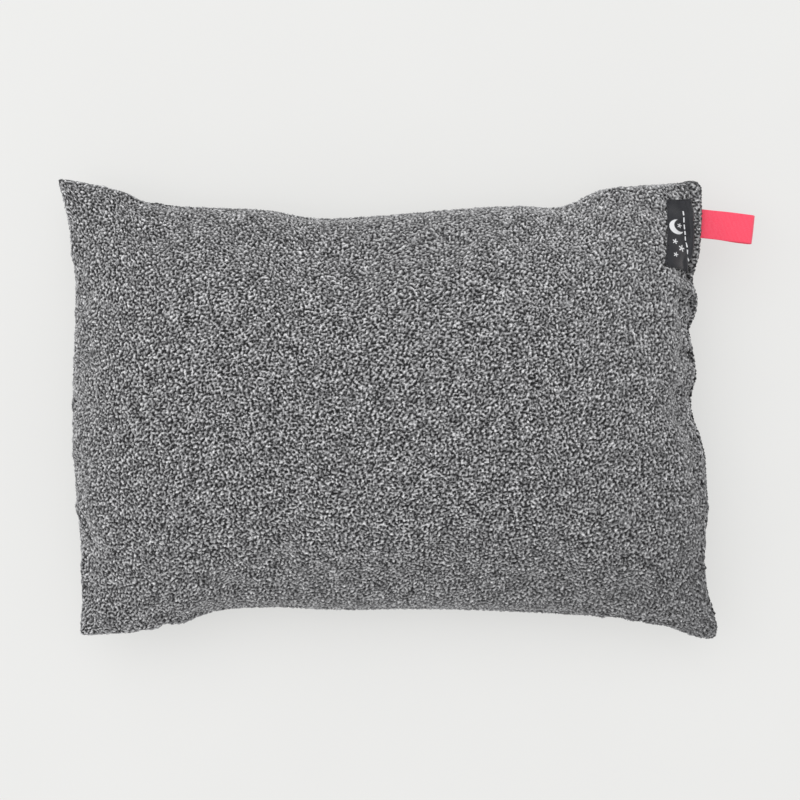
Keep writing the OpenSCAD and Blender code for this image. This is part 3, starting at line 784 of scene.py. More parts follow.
def wovenLabel():
    n, m = label["rows"], label["cols"]
    v = np.linspace(*label["v"], m)
    wider = panelAt(np.linspace(*label["u"], 4 * n), v, 1)
    # the left edge slants, and ends in a rounded corner: r - sqrt(r^2 - (r - y)^2) across, at a height y
    up = np.linspace(0, label["tall"], m)
    r = label["corner"]
    corner = r - np.sqrt(np.maximum(0, r * r - np.maximum(0, r - up) ** 2))
    across = label["slant"] * up / label["tall"] + corner / 30
    place = (across + (1 - across) * np.linspace(0, 1, n)[:, None]) * (4 * n - 1)
    i = np.minimum(place.astype(int), 4 * n - 2)
    k = np.arange(m)[None, :]
    base = mix(wider[i, k], wider[i + 1, k], (place - i)[..., None])
    # the stiff label bridges the small waves of the lip under it
    kernel = np.exp(-0.5 * (np.linspace(-2.5, 2.5, 17)) ** 2)
    kernel /= kernel.sum()
    padded = np.concatenate([base[:, :1].repeat(8, 1), base, base[:, -1:].repeat(8, 1)], 1)
    smoothed = sum(w * padded[:, k:k + m] for k, w in enumerate(kernel))
    base[..., [0, 2]] = smoothed[..., [0, 2]]
    normal = gridNormals(base)
    x, y = walkedLength(base)
    x, y = x - x[0].mean(), y - y[:, 0].mean()
    # a slight cushion between the stitches
    wide, tall = x.max(), y.max()
    cushion = label["cushion"] * np.clip(np.minimum.reduce([x, wide - x, y, tall - y]) / 2.5, 0, 1)
    ripple = label["ripple"] * np.sin(y / 2.1 + x / 5)
    face = base + normal * (label["gap"] + label["thick"] + cushion + ripple)[..., None]
    under = base + normal * (label["gap"] + cushion + ripple)[..., None]
    uv = np.dstack([x, y]).reshape(-1, 2) * 0.001
    image = labelMotif(base[..., 0] - base[..., 0].min(), base[..., 1] - base[..., 1].min())
    piece = makePiece("wovenLabel", np.concatenate([face.reshape(-1, 3), under.reshape(-1, 3)]), shellFaces(n, m),
                      labelCloth, "label", uv=np.concatenate([uv, uv]),
                      attributes={"motif": np.concatenate([image.ravel(), np.zeros(n * m)])})
    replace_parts(piece, "woven_label")
    return face, normal, (wide, tall)


labelFace, labelNormal, labelSize = wovenLabel()
print("label made, %.0f by %.0f mm" % labelSize)

blackThread = threadFinish("blackSewingThread", ("#0b0b0c", "#26272a"))
labelSeam = dict(inset=0.9, perLength=15, perWidth=7, between=0.16, radius=0.26, above=0.08)


def labelStitches():
    # Lockstitches that follow the label's face, 0.9 mm inside its edge, 3 mm apart.
    n, m = labelFace.shape[:2]
    inI, inJ = (max(1, round(labelSeam["inset"] / size * steps)) for size, steps in zip(labelSize, (n, m)))
    starts, ends, outs = [], [], []
    for fixed, axis in ((inI, 0), (n - 1 - inI, 0), (inJ, 1), (m - 1 - inJ, 1)):
        count = labelSeam["perWidth"] if axis else labelSeam["perLength"]
        low, high = (inI, n - 1 - inI) if axis else (inJ, m - 1 - inJ)
        for part, places in ((labelSeam["between"], starts), (1 - labelSeam["between"], ends)):
            moving = np.round(low + (high - low) * (np.arange(count) + part) / count).astype(int)
            at = (moving, np.full(count, fixed)) if axis else (np.full(count, fixed), moving)
            places.append(labelFace[at] + labelNormal[at] * labelSeam["above"])
            if places is starts:
                outs.append(labelNormal[at])
    starts, ends, outs = map(np.concatenate, (starts, ends, outs))
    points, sets = stitchRow(starts, ends, labelSeam["radius"], outs, rings=7, sides=8)
    piece = makePiece("labelStitches", points, sets, blackThread, "label_thread")
    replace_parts(piece, "label_stitching")


labelStitches()


# Grosgrain ribbon, folded into a loop: fine ribs across its width, a satin glow, and a selvedge along both edges.
ribbon = dict(
    wide=20, thick=0.7, reach=31.15, eye=3, shut=0.42, tail=10, root=(226.2, 124, 46.7), lean=8, bendLength=7,
    ribs=0.9, colour=("#ff3f5c", "#ff6078"),
)
ribbonCloth, tree, surface, place = newMaterial("grosgrainRibbon", {
    "Roughness": 0.55, "Sheen Weight": 0.3, "Sheen Roughness": 0.4, "Specular IOR Level": 0.3,
})
axes = addNode(tree, "SeparateXYZ", {}, {"Vector": place.outputs["UV"]})
turns = addNode(tree, "Math", {"operation": "MULTIPLY", 1: 2 * math.pi * 1000 / ribbon["ribs"]},
                {0: axes.outputs["X"]})
ribs = addNode(tree, "Math", {"operation": "SINE"}, {0: turns.outputs["Value"]}).outputs["Value"]
threads = addNode(tree, "TexNoise", {"Scale": 1400.0, "Detail": 2.0}, {"Vector": place.outputs["Object"]})
height = addNode(tree, "Math", {"operation": "MULTIPLY_ADD", 1: 0.3}, {0: ribs, 2: threads.outputs["Fac"]})
dressSurface(tree, surface, height.outputs["Value"], list(zip((0.15, 0.85), ribbon["colour"])), ribs, 0.6, 0.12)


def ribbonLoop():
    # The path runs out along the lower layer, round the eye and back. The band's width is carried square to it,
    # with wavy edges.
    reach, eye, low = ribbon["reach"], ribbon["eye"], ribbon["shut"]
    t = np.linspace(-ribbon["tail"], reach, 70)
    spread = low + (eye - low) * easeStep((t - 6) / 18)
    turn = np.linspace(-math.pi / 2, math.pi / 2, 24)[1:-1]
    path = np.concatenate([
        np.stack([t, -spread], -1),
        np.stack([reach + eye * np.cos(turn), eye * np.sin(turn)], -1),
        np.stack([t[::-1], spread[::-1]], -1),
    ])
    across = alongAndAcross(path)[1]
    walked = walk(path)
    half, skin = ribbon["wide"] / 2, ribbon["thick"] / 2
    y = np.linspace(-half + skin, half - skin, 20)
    edge = np.linspace(-math.pi / 2, math.pi / 2, 7)[1:-1]
    sectionY = np.concatenate([y, half - skin + skin * np.cos(edge), y[::-1], -half + skin - skin * np.cos(edge)])
    sectionZ = np.concatenate([np.full(20, -skin), skin * np.sin(edge), np.full(20, skin), -skin * np.sin(edge)])
    free = easeStep((path[:, :1] - 4) / 20)
    curl = 0.45 * free * (sectionY / half) ** 2
    offset = sectionZ + 0.10 * np.sin(walked / 3.1)[:, None] * (np.abs(sectionY) / half) ** 3 * free
    px = path[:, :1] + across[:, :1] * offset
    pz = path[:, 1:] + across[:, 1:] * offset - curl * np.sign(path[:, 1:] + 1e-6)
    py = sectionY * (1 + 0.006 * np.sin(walked / 4.7))[:, None] - 0.4 * free * (path[:, :1] / reach)
    lean = math.radians(-ribbon["lean"])
    out = np.array([math.cos(lean), math.sin(lean), 0])
    root = np.array(ribbon["root"])
    points = root + np.dstack([px * out[0] - py * out[1], px * out[1] + py * out[0], pz])
    everything, sets = closedTube(points)
    bend = ("pillow", "ribbon", (root * 0.001).tolist(), ((root + ribbon["bendLength"] * out) * 0.001).tolist())
    piece = makePiece("ribbonTab", everything, sets, ribbonCloth, "ribbon", bend=bend,
                      uv=tubeMap(*np.meshgrid(walked, sectionY, indexing="ij")))
    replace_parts(piece, "ribbon_loop", "ribbon_tail")
    return walked[-1]


print("ribbon made, %.0f mm long" % ribbonLoop())


# Zip tapes, woven polyester: black, matt, with the fine warp of a narrow loom.
zipper = dict(
    tapeThick=0.6, tapeSteps=30, coilHalf=2.1, bend=4.8, turnIn=5.5, lean=75, pitch=1.5, wire=0.3, turnSteps=12,
    coreRadius=0.34, coreOff=1.45, stitchX=204.5, stitchUp=4.3, stitchLong=2.4, stitchEvery=3.2,
    coilColours=("#0c0c0d", "#1d1d1f"), tapeColours=("#0e0e10", "#2b2b2f"),
)
tapeCloth = wovenFinish("wovenZipTape", zipper["tapeColours"], 0.7, 0.7, 0.85, 0.15)[0]


def zipTape(name, node, side):
    # The tape stands up from the coil, bends over 2 mm, and lies in along the lip; it ripples a little.
    straight = zipper["bend"] - zipper["coilHalf"]
    walked = np.linspace(0, 1, zipper["tapeSteps"]) * (straight + zipper["turnIn"])
    turned = easeStep((walked - straight + 1.0) / 2.0) * math.radians(zipper["lean"])
    middle, step = (turned[1:] + turned[:-1]) / 2, walked[1]
    x, z = (np.concatenate([[0], np.cumsum(part) * step]) for part in (-np.sin(middle), np.cos(middle)))
    line = np.stack([x, z + zipper["coilHalf"] + 0.1], -1)
    profile = bandProfile(line, zipper["tapeThick"] - 0.08)
    y = np.linspace(pillow["chainLow"] - 4, pillow["chainHigh"] + 7, 190)
    points = sweepAlongY(profile, y)
    away = easeStep((points[..., 2] - zipper["coilHalf"] - 2) / 8)
    points[..., 0] += away * 0.35 * np.sin(y / 9.0 + 1.3 * np.sin(y / 23))[:, None] + pillow["zipX"]
    points[..., 2] = pillow["zipZ"] + side * points[..., 2]
    everything, sets = closedTube(points, flip=side > 0)
    piece = makePiece(name, everything, sets, tapeCloth, "zip_tape", uv=tubeMap(*np.meshgrid(walk(profile), y)))
    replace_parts(piece, node)


zipTape("zipTapeFront", "zip_tape_front", 1)
zipTape("zipTapeBack", "zip_tape_back", -1)

# Nylon coil, wound monofilament: black and slightly glossy.
coilNylon, tree, surface, place = newMaterial("nylonCoil", {"Roughness": 0.32, "IOR": 1.53})
draw = addNode(tree, "TexNoise", {"Scale": 700.0, "Detail": 2.0}, {"Vector": place.outputs["Object"]}).outputs["Fac"]
dressSurface(tree, surface, draw, list(zip((0.3, 0.7), zipper["coilColours"])), draw, 0.15, 0.1)


def zipCoil(name, node, side):
    # A helix squeezed flat: 0.4 cos across and 1.1 sin up about a middle 0.82 out, y advancing one pitch a turn.
    turns = int((pillow["chainHigh"] - pillow["chainLow"]) / zipper["pitch"]) - 1
    angle = np.arange(turns * zipper["turnSteps"] + 1) * 2 * math.pi / zipper["turnSteps"]
    first = pillow["chainLow"] + zipper["pitch"] * (0.4 if side > 0 else 0.9)
    path = np.stack([
        pillow["zipX"] + 0.4 * np.cos(angle),
        first + zipper["pitch"] * angle / (2 * math.pi) + 0.12 * np.sin(2 * angle),
        pillow["zipZ"] + side * (0.82 - 1.1 * np.sin(angle)),
    ], -1)
    out = np.stack([0.4 * np.cos(angle) * 3, np.zeros_like(angle), -side * 1.1 * np.sin(angle)], -1)
    # the cord that the coil is sewn round
    y = np.linspace(pillow["chainLow"], pillow["chainHigh"], 60)
    core = np.stack([np.full(60, pillow["zipX"]), y, np.full(60, pillow["zipZ"] + side * zipper["coreOff"])], -1)
    points, sets = joinParts([wireAlong(path, out, zipper["wire"]),
                              wireAlong(core, np.tile([1.0, 0, 0], (60, 1)), zipper["coreRadius"], sides=10)])
    piece = makePiece(name, points, sets, coilNylon, "zip_coil")
    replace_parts(piece, node)


zipCoil("zipCoilFront", "zip_coil_front", 1)
zipCoil("zipCoilBack", "zip_coil_back", -1)


def zipStitches():
    # Two rows of lockstitches, 2.4 mm long and 3.2 mm apart, on the tapes' inner face.
    every = zipper["stitchEvery"]
    count = int((pillow["chainHigh"] - pillow["chainLow"] + 4) / every)
    y = pillow["chainLow"] - 2 + every * np.arange(count)
    starts = np.concatenate([
        np.stack([np.full(count, zipper["stitchX"]), y, np.full(count, pillow["zipZ"] + s * zipper["stitchUp"])], -1)
        for s in (1, -1)])
    out = np.tile([-1.0, 0, 0], (2 * count, 1))
    points, sets = stitchRow(starts, starts + [0, zipper["stitchLong"], 0], 0.25, out)
    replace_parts(makePiece("zipStitches", points, sets, blackThread, "cover_thread"), "zip_stitching")


zipStitches()


def signedPower(values, power):
    # |s|^power with the sign of s.
    return np.sign(values) * np.abs(values) ** power


def roundedBlock(centre, size, squareness, rows=14, cols=28):
    # Superellipsoid: each coordinate is a sine or cosine raised to 2/squareness, keeping its sign.
    a = np.linspace(-math.pi / 2, math.pi / 2, rows)[1:-1, None]
    b = np.linspace(0, 2 * math.pi, cols, endpoint=False)[None]
    cosA, sinA, cosB, sinB = (signedPower(s, 2 / squareness) for s in (np.cos(a), np.sin(a), np.cos(b), np.sin(b)))
    points = np.stack([cosA * cosB, cosA * sinB, sinA * np.ones_like(b)], -1)
    points = points * (np.array(size) / 2) + centre
    n, m = points.shape[:2]
    tips = np.array(centre) + [[0, 0, -size[2] / 2], [0, 0, size[2] / 2]]
    return np.concatenate([points.reshape(-1, 3), tips]), [gridFaces(n, m, closedCols=True)[:, ::-1], capFaces(n, m)]


# Zip stops, injection-moulded acetal: black and satin, with soft edges.
stopResin, tree, surface, place = newMaterial("mouldedAcetal", {"Roughness": 0.4, "IOR": 1.48})
grain = addNode(tree, "TexNoise", {"Scale": 2500.0, "Detail": 3.0}, {"Vector": place.outputs["Object"]}).outputs["Fac"]
dressSurface(tree, surface, grain, [(0.35, "#111112"), (0.65, "#1e1e20")], grain, 0.12, 0.1)

stops = dict(topAbove=3.6 + 0.4, topOff=1.4, topSize=(2.2, 2.4, 1.2), lowBelow=0.3 + 1.5, lowSize=(2.4, 3, 4.2))
topStops = joinParts([
    roundedBlock((pillow["zipX"], pillow["chainHigh"] + stops["topAbove"], pillow["zipZ"] + s * stops["topOff"]),
                 stops["topSize"], 5)
    for s in (1, -1)])
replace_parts(makePiece("zipTopStops", *topStops, stopResin, "zip_coil"), "zip_top_stops")
bottomStop = roundedBlock((pillow["zipX"], pillow["chainLow"] - stops["lowBelow"], pillow["zipZ"]), stops["lowSize"], 5)
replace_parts(makePiece("zipBottomStop", *bottomStop, stopResin, "zip_coil"), "zip_bottom_stop")


# Slider and puller, die-cast zinc with a dark stoved paint: satin, its edges worn a little paler.
zinc, tree, surface, place = newMaterial("paintedZincCasting", {"Metallic": 0.75, "Roughness": 0.38})
wearAndPaintedShadeFade = addNode(tree, "TexNoise", {"Scale": 400.0, "Detail": 4.0}, {"Vector": place.outputs["Object"]}).outputs["Fac"]
edges = addNode(tree, "NewGeometry")
edge = addNode(tree, "MapRange", {1: 0.5, 2: 0.62}, {0: edges.outputs["Pointiness"]})
mixed = addNode(tree, "Math", {"operation": "MULTIPLY"}, {0: edge.outputs[0], 1: wearAndPaintedShadeFade})
rough = addNode(tree, "MapRange", {1: 0.3, 2: 0.7, 3: 0.32, 4: 0.5}, {0: wearAndPaintedShadeFade})
tree.links.new(rough.outputs[0], surface.inputs["Roughness"])
dressSurface(tree, surface, mixed.outputs["Value"], [(0.2, "#2c2c2f"), (0.75, "#77787b")], wearAndPaintedShadeFade, 0.1, 0.1)


def flatPlate(outlines, low, high, rounding):
    # Outlines in the plane of Y and Z, holes included, filled and given a thickness along X with rounded edges.
    shape = bpy.data.curves.new("plate", "CURVE")
    shape.dimensions = "2D"
    shape.fill_mode = "BOTH"
    shape.extrude = ((high - low) / 2 - rounding) * 0.001
    shape.bevel_depth = rounding * 0.001
    shape.bevel_resolution = 2
    for outline in outlines:
        spline = shape.splines.new("POLY")
        spline.points.add(len(outline) - 1)
        flat = np.zeros((len(outline), 4))
        flat[:, :2] = np.asarray(outline) * 0.001
        flat[:, 3] = 1
        spline.points.foreach_set("co", flat.astype(np.float32).ravel())
        spline.use_cyclic_u = True
    holder = addObject("plate", shape)
    made = bpy.data.meshes.new_from_object(holder.evaluated_get(bpy.context.evaluated_depsgraph_get()))
    work = bmesh.new()
    work.from_mesh(made)
    bmesh.ops.remove_doubles(work, verts=work.verts, dist=1e-6)
    bmesh.ops.triangulate(work, faces=work.faces)
    bmesh.ops.recalc_face_normals(work, faces=work.faces)
    work.to_mesh(made)
    work.free()
    flat = np.empty(len(made.vertices) * 3, np.float32)
    made.vertices.foreach_get("co", flat)
    corners = np.empty(len(made.polygons) * 3, np.int32)
    made.polygons.foreach_get("vertices", corners)
    bpy.data.objects.remove(holder)
    flat = flat.reshape(-1, 3) * 1000
    points = np.stack([flat[:, 2] + (low + high) / 2, flat[:, 0], flat[:, 1]], -1)
    return points, [corners.reshape(-1, 3)]


def smoothLoop(points, count):
    # Closed Catmull-Rom curve through the points.
    points = np.asarray(points, float)
    s = np.linspace(0, len(points), count, endpoint=False)
    i = s.astype(int)
    return catmullRom(*(points[(i + k) % len(points)] for k in (-1, 0, 1, 2)), (s - i)[:, None])


slider = dict(
    length=12.5, width=8, channel=1.1, plate=0.9, wedge=3.2, y=117 + 3.6 - 6.25,
    bridge=2.2, bridgeHalf=3.6, bridgeUp=2.57, bridgeThick=0.88,
)


def zipSlider():
    # Two plates with turned-in flanges, a wedge between them at the nose, and an arched bridge.
    nose, half = slider["length"] / 2, slider["width"] / 2
    lower = [[-nose, -1.4], [-nose + 0.5, -half + 1.1], [-2, -half + 0.7], [1, -half + 0.6],
             [nose - 2, -half + 0.1], [nose - 0.5, -half + 0.9], [nose, -1.8]]
    plate = smoothLoop(lower + [[y, -z] for y, z in lower[::-1]], 96)
    channel, thick = slider["channel"], slider["plate"]
    parts = [flatPlate([plate], x, x + thick, 0.22) for x in (channel, -channel - thick)]
    wedge = smoothLoop([[nose - slider["wedge"], 0], [nose - 1.6, -0.75], [nose - 0.5, -0.8],
                        [nose - 0.3, 0], [nose - 0.5, 0.8], [nose - 1.6, 0.75]], 36)
    parts.append(flatPlate([wedge], -channel - 0.3, channel + 0.3, 0.12))
    # the bridge: a rounded square section carried over a half ellipse
    angle = np.linspace(-math.pi / 2, math.pi / 2, 33)
    path = np.stack([channel + thick - 0.15 + slider["bridgeUp"] * np.cos(angle),
                     (slider["bridgeHalf"] - 0.45) * np.sin(angle)], -1)
    across = -alongAndAcross(path)[1]
    turn = np.linspace(0, 2 * math.pi, 20, endpoint=False)
    wide = slider["bridge"] / 2 * signedPower(np.cos(turn), 0.5)
    tall = slider["bridgeThick"] / 2 * signedPower(np.sin(turn), 0.5)
    points = path[:, None] + across[:, None] * tall[:, None]
    parts.append(closedTube(np.dstack([points, np.broadcast_to(wide, (33, 20))])))
    points, sets = joinParts(parts)
    place = [pillow["zipX"], slider["y"], pillow["zipZ"]]
    piece = makePiece("zipSlider", points + place, sets, zinc, "zip_metal", body="slider")
    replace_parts(piece, "zip_slider")
    piece.data.set_sharp_from_angle(angle=math.radians(40))


zipSlider()

puller = dict(length=18, width=5.4, thick=1.1, pivot=3.15, bar=0.6, window=(3.0, 5.0), hole=1.2, ribs=5, ribEvery=1.25)


def zipPuller():
    # A flat tongue with a window round the bridge, a cross bar, a cord hole near its end and raised grip ribs.
    wide, end = puller["width"] / 2, -puller["length"] + puller["width"] / 2
    angle = np.linspace(math.pi / 2, 3 * math.pi / 2, 25)
    waist = np.linspace(0, 1, 20)
    waistWidth = wide * (1 - 0.09 * np.sin(math.pi * waist))
    outline = np.concatenate([
        np.stack([0.3 * (1 - waist) + end * waist, waistWidth], -1),
        np.stack([end + wide * np.cos(angle), wide * np.sin(angle)], -1)[1:-1],
        np.stack([0.3 * waist + end * (1 - waist), -waistWidth[::-1]], -1),
    ])
    low, far = -puller["window"][0] / 2, -puller["window"][1]
    corners = [[far, low + 0.3], [far + 0.3, low], [-2.5, low], [-0.9, low], [-0.7, low + 0.3]]
    window = smoothLoop(corners + [[y, -z] for y, z in corners[::-1]], 60)[::-1]
    turn = -np.linspace(0, 2 * math.pi, 28, endpoint=False)
    hole = np.stack([-puller["length"] + 3.2 + puller["hole"] * np.cos(turn), puller["hole"] * np.sin(turn)], -1)
    parts = [flatPlate([outline, window, hole], -puller["thick"] / 2, puller["thick"] / 2, 0.2)]
    bar = np.zeros((12, 3))
    bar[:, 2] = np.linspace(-wide + 0.05, wide - 0.05, 12)
    parts.append(wireAlong(bar, np.tile([1.0, 0, 0], (12, 1)), puller["bar"], sides=20))
    for k in range(puller["ribs"]):
        for face in (-1, 1):
            middle = (face * puller["thick"] / 2, -7.2 - puller["ribEvery"] * k, 0)
            parts.append(roundedBlock(middle, (0.36, 0.7, 3.4), 3, rows=8, cols=16))
    points, sets = joinParts(parts)
    place = [pillow["zipX"] + puller["pivot"], slider["y"], pillow["zipZ"]]
    piece = makePiece("zipPuller", points + place, sets, zinc, "zip_metal", body="puller")
    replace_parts(piece, "zip_puller")
    piece.data.set_sharp_from_angle(angle=math.radians(40))


zipPuller()
print("zip made")


# Overlock thread, textured polyester: loops wrapped round the raw edges of the seam allowances.
greyThread = threadFinish("texturedOverlockThread", ("#4b4b4e", "#8b8b8f"))
whiteThread = threadFinish("whiteSewingThread", ("#c9c9c6", "#f2f2ee"))
overlock = dict(length=1480, inset=10.8, wrap=1.7, tall=0.75, pitch=3.1, wire=0.22, steps=8)


def borderPlaces(perSide):
    # Places u and v once round the border of the unit square.
    k = np.linspace(0, 4, 4 * perSide, endpoint=False)
    f, c = k % 1, k.astype(int)
    zero, one = np.zeros_like(f), np.ones_like(f)
    return np.choose(c, [f, one, 1 - f, zero]), np.choose(c, [zero, f, one, 1 - f])


def ringReader(line):
    # Length of a closed line, and a function that reads the line at distances walked along it.
    closed = np.concatenate([line, line[:1]])
    walked = walk(closed)
    return walked[-1], lambda s: np.stack([np.interp(s, walked, column) for column in closed.T], -1)


def overlockThread():
    # A helix round the edge: outwards by wrap * cos and up by tall * sin of its angle, one turn for each pitch.
    count = int(overlock["length"] / overlock["pitch"]) * overlock["steps"]
    u, v = borderPlaces(400)
    line = outlineAt(u, v) + np.stack([overlock["inset"] * (1 - 2 * u), overlock["inset"] * (1 - 2 * v)], -1)
    line[:, 0] += np.minimum(0, sideSlack(line[:, 1])) * u ** 12
    length, read = ringReader(line)
    line = read(np.linspace(0, length, count, endpoint=False))
    along = unit(np.roll(line, -1, 0) - np.roll(line, 1, 0))
    out = np.stack([along[:, 1], -along[:, 0]], -1)
    angle = (np.arange(count) * 2 * math.pi / overlock["steps"])[:, None]
    path = np.concatenate([line + out * (overlock["wrap"] * np.cos(angle)),
                           pillow["seamHeight"] + overlock["tall"] * np.sin(angle)], 1)
    normal = np.concatenate([out * np.cos(angle), np.sin(angle)], 1)
    points, sets = wireAlong(path, normal, overlock["wire"], sides=5, closed=True)
    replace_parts(makePiece("overlockThread", points, sets, greyThread, "cover_thread"), "cover_overlock_thread")


overlockThread()

# Care label, white satin tape, left blank: soft sheen, fine ribs along its length.
care = dict(
    fromY=-62, toY=-30, thick=0.32, colours=("#dcdcd8", "#f4f4f1"),
    line=[[3.2, 0.42], [-1, 0.42], [-5.6, 0.5], [-7.4, 2.2], [-7.9, 6], [-8.5, 14], [-9.0, 21], [-9.35, 26.6]],
)
careSatin = wovenFinish("satinCareTape", care["colours"], 0.5, 0.25, 0.4, 0.05, 0.35)[0]


def careLabel():
    # Its line runs in from the seam, turns up over 4 mm and stands against the padding, curling a little at its end.
    line = sideCurve(care["line"], np.linspace(0, 1, 60))
    profile = bandProfile(line, care["thick"])
    y = np.linspace(care["fromY"], care["toY"], 50)
    points = sweepAlongY(profile, y)
    lift = easeStep(points[..., 2] / 26)
    points[..., 0] += 0.25 * lift * np.sin(y / 6.0)[:, None] + pillow["zipX"]
    points[..., 2] += pillow["seamHeight"]
    everything, sets = closedTube(points)
    uv = tubeMap(*np.meshgrid(walk(profile), y))
    piece = makePiece("careLabel", everything, sets, careSatin, "care_label", uv=uv)
    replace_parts(piece, "care_label")


careLabel()

# Inner case, brushed polyester in a plain weave: off-white, matt, puckered at its seam.
inner = dict(
    gap=17.5, zipGap=12, rise=62, thick=0.8, floor=3.6, puckerLength=15, puckerDeep=1.3, stepsX=120, stepsY=88,
    walkX=400, walkY=300, walkRise=60, stitchEvery=3, colours=("#d6d5d0", "#f3f2ee"),
)
caseCloth = wovenFinish("brushedPolyesterCase", inner["colours"], 0.9, 0.9, 0.9, 0.1, 0.3, coordinate="Object")[0]


def innerPoint(u, v, inset, height):
    # The cover's outline drawn in to leave a gap all round, and clear of the zip.
    plan = outlineAt(u, v)
    farLeft, half = -pillow["length"] / 2, pillow["width"] / 2
    left, right = farLeft + inner["gap"] + inset, pillow["zipX"] - inner["zipGap"] - inset
    x = left + (right - left) * (plan[..., 0] - farLeft) / pillow["length"]
    y = plan[..., 1] * (half - inner["gap"] - inset) / half
    return np.dstack([x, y, pillow["seamHeight"] + height * puff(u) * puff(v)])


def innerGrid(n, m, inset, height, pucker):
    u = evenSteps(np.linspace(0, 1, n), inner["walkX"], inner["walkRise"])
    v = evenSteps(np.linspace(0, 1, m), inner["walkY"], inner["walkRise"])
    u, v = np.meshgrid(u, v, indexing="ij")
    points = innerPoint(u, v, inset, height)
    # puckers run in from the seam: waves along each side that fade with distance from it
    wave = 0
    for place, fade, rim, way, bend in ((v, 0.05, 0.012, 0, 37), (u, 0.04, 0.010, 1, 29)):
        away, run = np.minimum(place, 1 - place), points[..., way]
        turns = 2 * math.pi * run / inner["puckerLength"] + 2 * np.sin(run / bend)
        wave = wave + np.exp(-away / fade) * easeStep(away / rim) * np.sin(turns)
    soft = readField(toneField, 2.0, points[..., 0] + 500, points[..., 1] + 500)
    points[..., 2] += np.sign(height) * pucker * (wave - 0.6) * easeStep(np.minimum.reduce([u, 1 - u, v, 1 - v]) / 0.01)
    points[..., 2] += np.sign(height) * 0.5 * pucker * (soft - 1.5) * puff(u) * puff(v)
    return points


def innerCase(name, node, height):
    n, m = inner["stepsX"], inner["stepsY"]
    outside = innerGrid(n, m, 0, height, inner["puckerDeep"])
    within = innerGrid(n, m, 3, height - np.sign(height) * inner["thick"], inner["puckerDeep"])
    if height < 0:
        outside[..., 2] = np.maximum(outside[..., 2], inner["floor"])
        within[..., 2] = np.maximum(within[..., 2], inner["floor"] + inner["thick"])
    within.reshape(-1, 3)[borderLoop(n, m), 2] += 0.05 * np.sign(height)
    sets = shellFaces(n, m)
    points = np.concatenate([outside.reshape(-1, 3), within.reshape(-1, 3)])
    piece = makePiece(name, points, flipped(sets) if height < 0 else sets, caseCloth, "inner_case")
    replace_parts(piece, node)


innerCase("innerCaseFront", "inner_case_front", inner["rise"])
innerCase("innerCaseBack", "inner_case_back", -pillow["seamHeight"] + 1)


def innerSeam():
    # Lockstitches 3 mm apart just inside the inner case's edge.
    u, v = borderPlaces(400)
    length, read = ringReader(innerPoint(u, v, 4, 0)[0])
    count = int(length / inner["stitchEvery"])
    starts, ends = (read((np.arange(count) + part) * length / count) for part in (0.14, 0.86))
    points, sets = stitchRow(starts, ends, 0.3, np.tile([0, 0, 1.0], (count, 1)), rings=4, sides=5)
    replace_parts(makePiece("innerSeamStitches", points, sets, whiteThread, "inner_thread"), "inner_seam_thread")


innerSeam()

# Polyester fibre filling, carded: white, matt, in soft clumps with fine strands.
filling, tree, surface, place = newMaterial("cardedPolyesterFilling", {
    "Roughness": 0.95, "Sheen Weight": 0.4, "Sheen Roughness": 0.5, "Specular IOR Level": 0.15,
})
clumps = addNode(tree, "TexNoise", {"Scale": 45.0, "Detail": 4.0}, {"Vector": place.outputs["Object"]})
strands = addNode(tree, "TexNoise", {"Scale": 350.0, "Detail": 5.0, "Roughness": 0.75, "Distortion": 2.5},
                  {"Vector": place.outputs["Object"]})
mixed = addNode(tree, "Math", {"operation": "MULTIPLY_ADD", 1: 0.6},
                {0: strands.outputs["Fac"], 2: clumps.outputs["Fac"]}).outputs["Value"]
dressSurface(tree, surface, mixed, [(0.35, "#bdbdb9"), (0.9, "#f6f6f4")], mixed, 0.7, 1.5)


def fibreFill():
    # One closed lump: an upper and a lower grid that share their border, with clumps 15 to 40 mm across.
    n, m = 130, 96
    upper, lower = (innerGrid(n, m, 6.5, h, 0) for h in (inner["rise"] - 3.2, -pillow["seamHeight"] + 4.5))
    for grid, side in ((upper, 1), (lower, -1)):
        lump = readField(toneField, 0.8, grid[..., 0] + 700 + 90 * side, grid[..., 1] + 300)
        fade = np.clip(np.abs(grid[..., 2] - pillow["seamHeight"]) / 12, 0, 1)
        grid[..., 2] -= side * fade * 1.1 * np.clip(lump + 1, 0, 2)
    lower[..., 2] = np.maximum(lower[..., 2], inner["floor"] + inner["thick"] + 0.3)
    used, faces = bagFaces(n, m)
    points = np.concatenate([upper.reshape(-1, 3), lower.reshape(-1, 3)])[used]
    piece = makePiece("fibreFilling", points, [faces], filling, "fibre_fill")
    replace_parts(piece, "fibre_fill")


fibreFill()
print("inner pillow made")


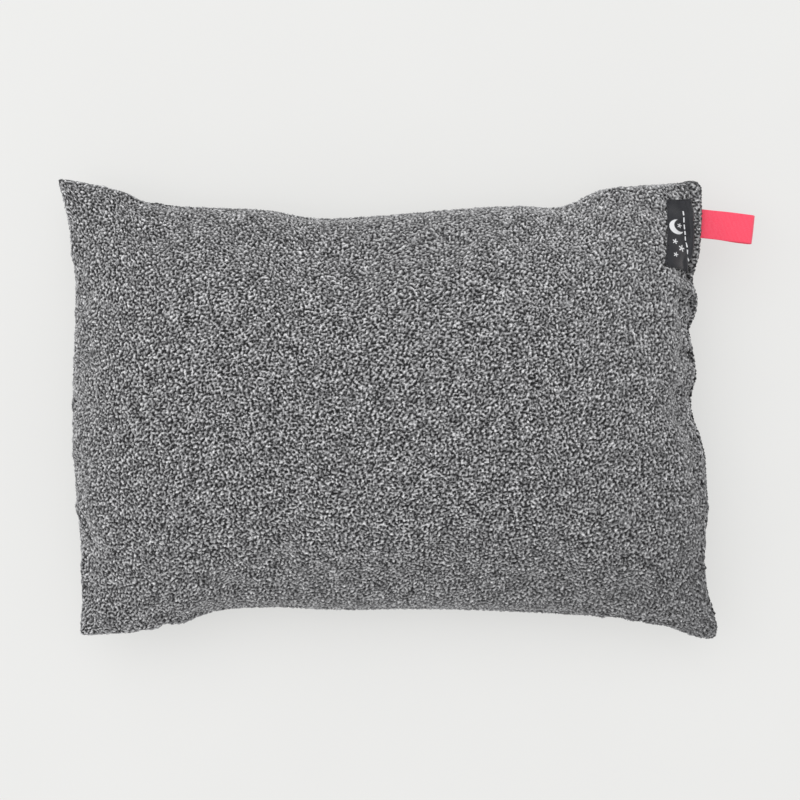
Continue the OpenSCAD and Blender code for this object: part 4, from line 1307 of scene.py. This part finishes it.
# Floor: a pale frosted light table, which keeps the shadow faint.
studio = dict(
    floor=("#969695", "#989897"), floorHalf=3, glow=0.52, glowColour="#fdfdfb",
    lampSize=3.6, lampPower=56, lampAt=(-0.7, 0.7, 2.8), lampAim=(0, 0, 0.05), sky=0.73, skyColour="#f9f9fa",
)
board, tree, surface, place = newMaterial("frostedLightTable", {
    "Roughness": 0.9, "Specular IOR Level": 0.1,
    "Emission Color": linearColour(studio["glowColour"]), "Emission Strength": studio["glow"],
})
mottle = addNode(tree, "TexNoise", {"Scale": 6.0, "Detail": 3.0}, {"Vector": place.outputs["Object"]})
dressSurface(tree, surface, mottle.outputs["Fac"], list(zip((0.3, 0.7), studio["floor"])))
floorMesh = bpy.data.meshes.new("studioFloor")
corners = [(x * studio["floorHalf"], y * studio["floorHalf"], -0.0003) for x, y in ((-1, -1), (1, -1), (1, 1), (-1, 1))]
floorMesh.from_pydata(corners, [], [(0, 1, 2, 3)])
floorMesh.materials.append(board)
floor = addObject("studioFloor", floorMesh)

lamp = bpy.data.lights.new("softBox", "AREA")
lamp.shape, lamp.size, lamp.energy = "SQUARE", studio["lampSize"], studio["lampPower"]
lampHolder = addObject("softBox", lamp)
lampHolder.location = studio["lampAt"]
aim = np.array(studio["lampAt"]) - studio["lampAim"]
lampHolder.rotation_euler = (0, math.acos(aim[2] / np.linalg.norm(aim)), math.atan2(aim[1], aim[0]))
scene.world = bpy.data.worlds.new("softSky")
scene.world.use_nodes = True
sky = scene.world.node_tree.nodes["Background"]
sky.inputs["Color"].default_value = linearColour(studio["skyColour"])
sky.inputs["Strength"].default_value = studio["sky"]
scene.view_settings.view_transform = "Standard"

# Camera straight above, turned 1.575 degrees.
view = dict(lens=70, sensor=36, middle=(0.0100, 0.0067), above=1.089, roll=-1.575)
lens = bpy.data.cameras.new("overhead")
lens.lens, lens.sensor_width = view["lens"], view["sensor"]
lens.clip_start, lens.clip_end = 0.01, 20
camera = addObject("overhead", lens)
camera.location = (*view["middle"], view["above"] + pillow["seamHeight"] * 0.001)
camera.rotation_euler = (0, 0, math.radians(view["roll"]))
scene.camera = camera
print("stage set")
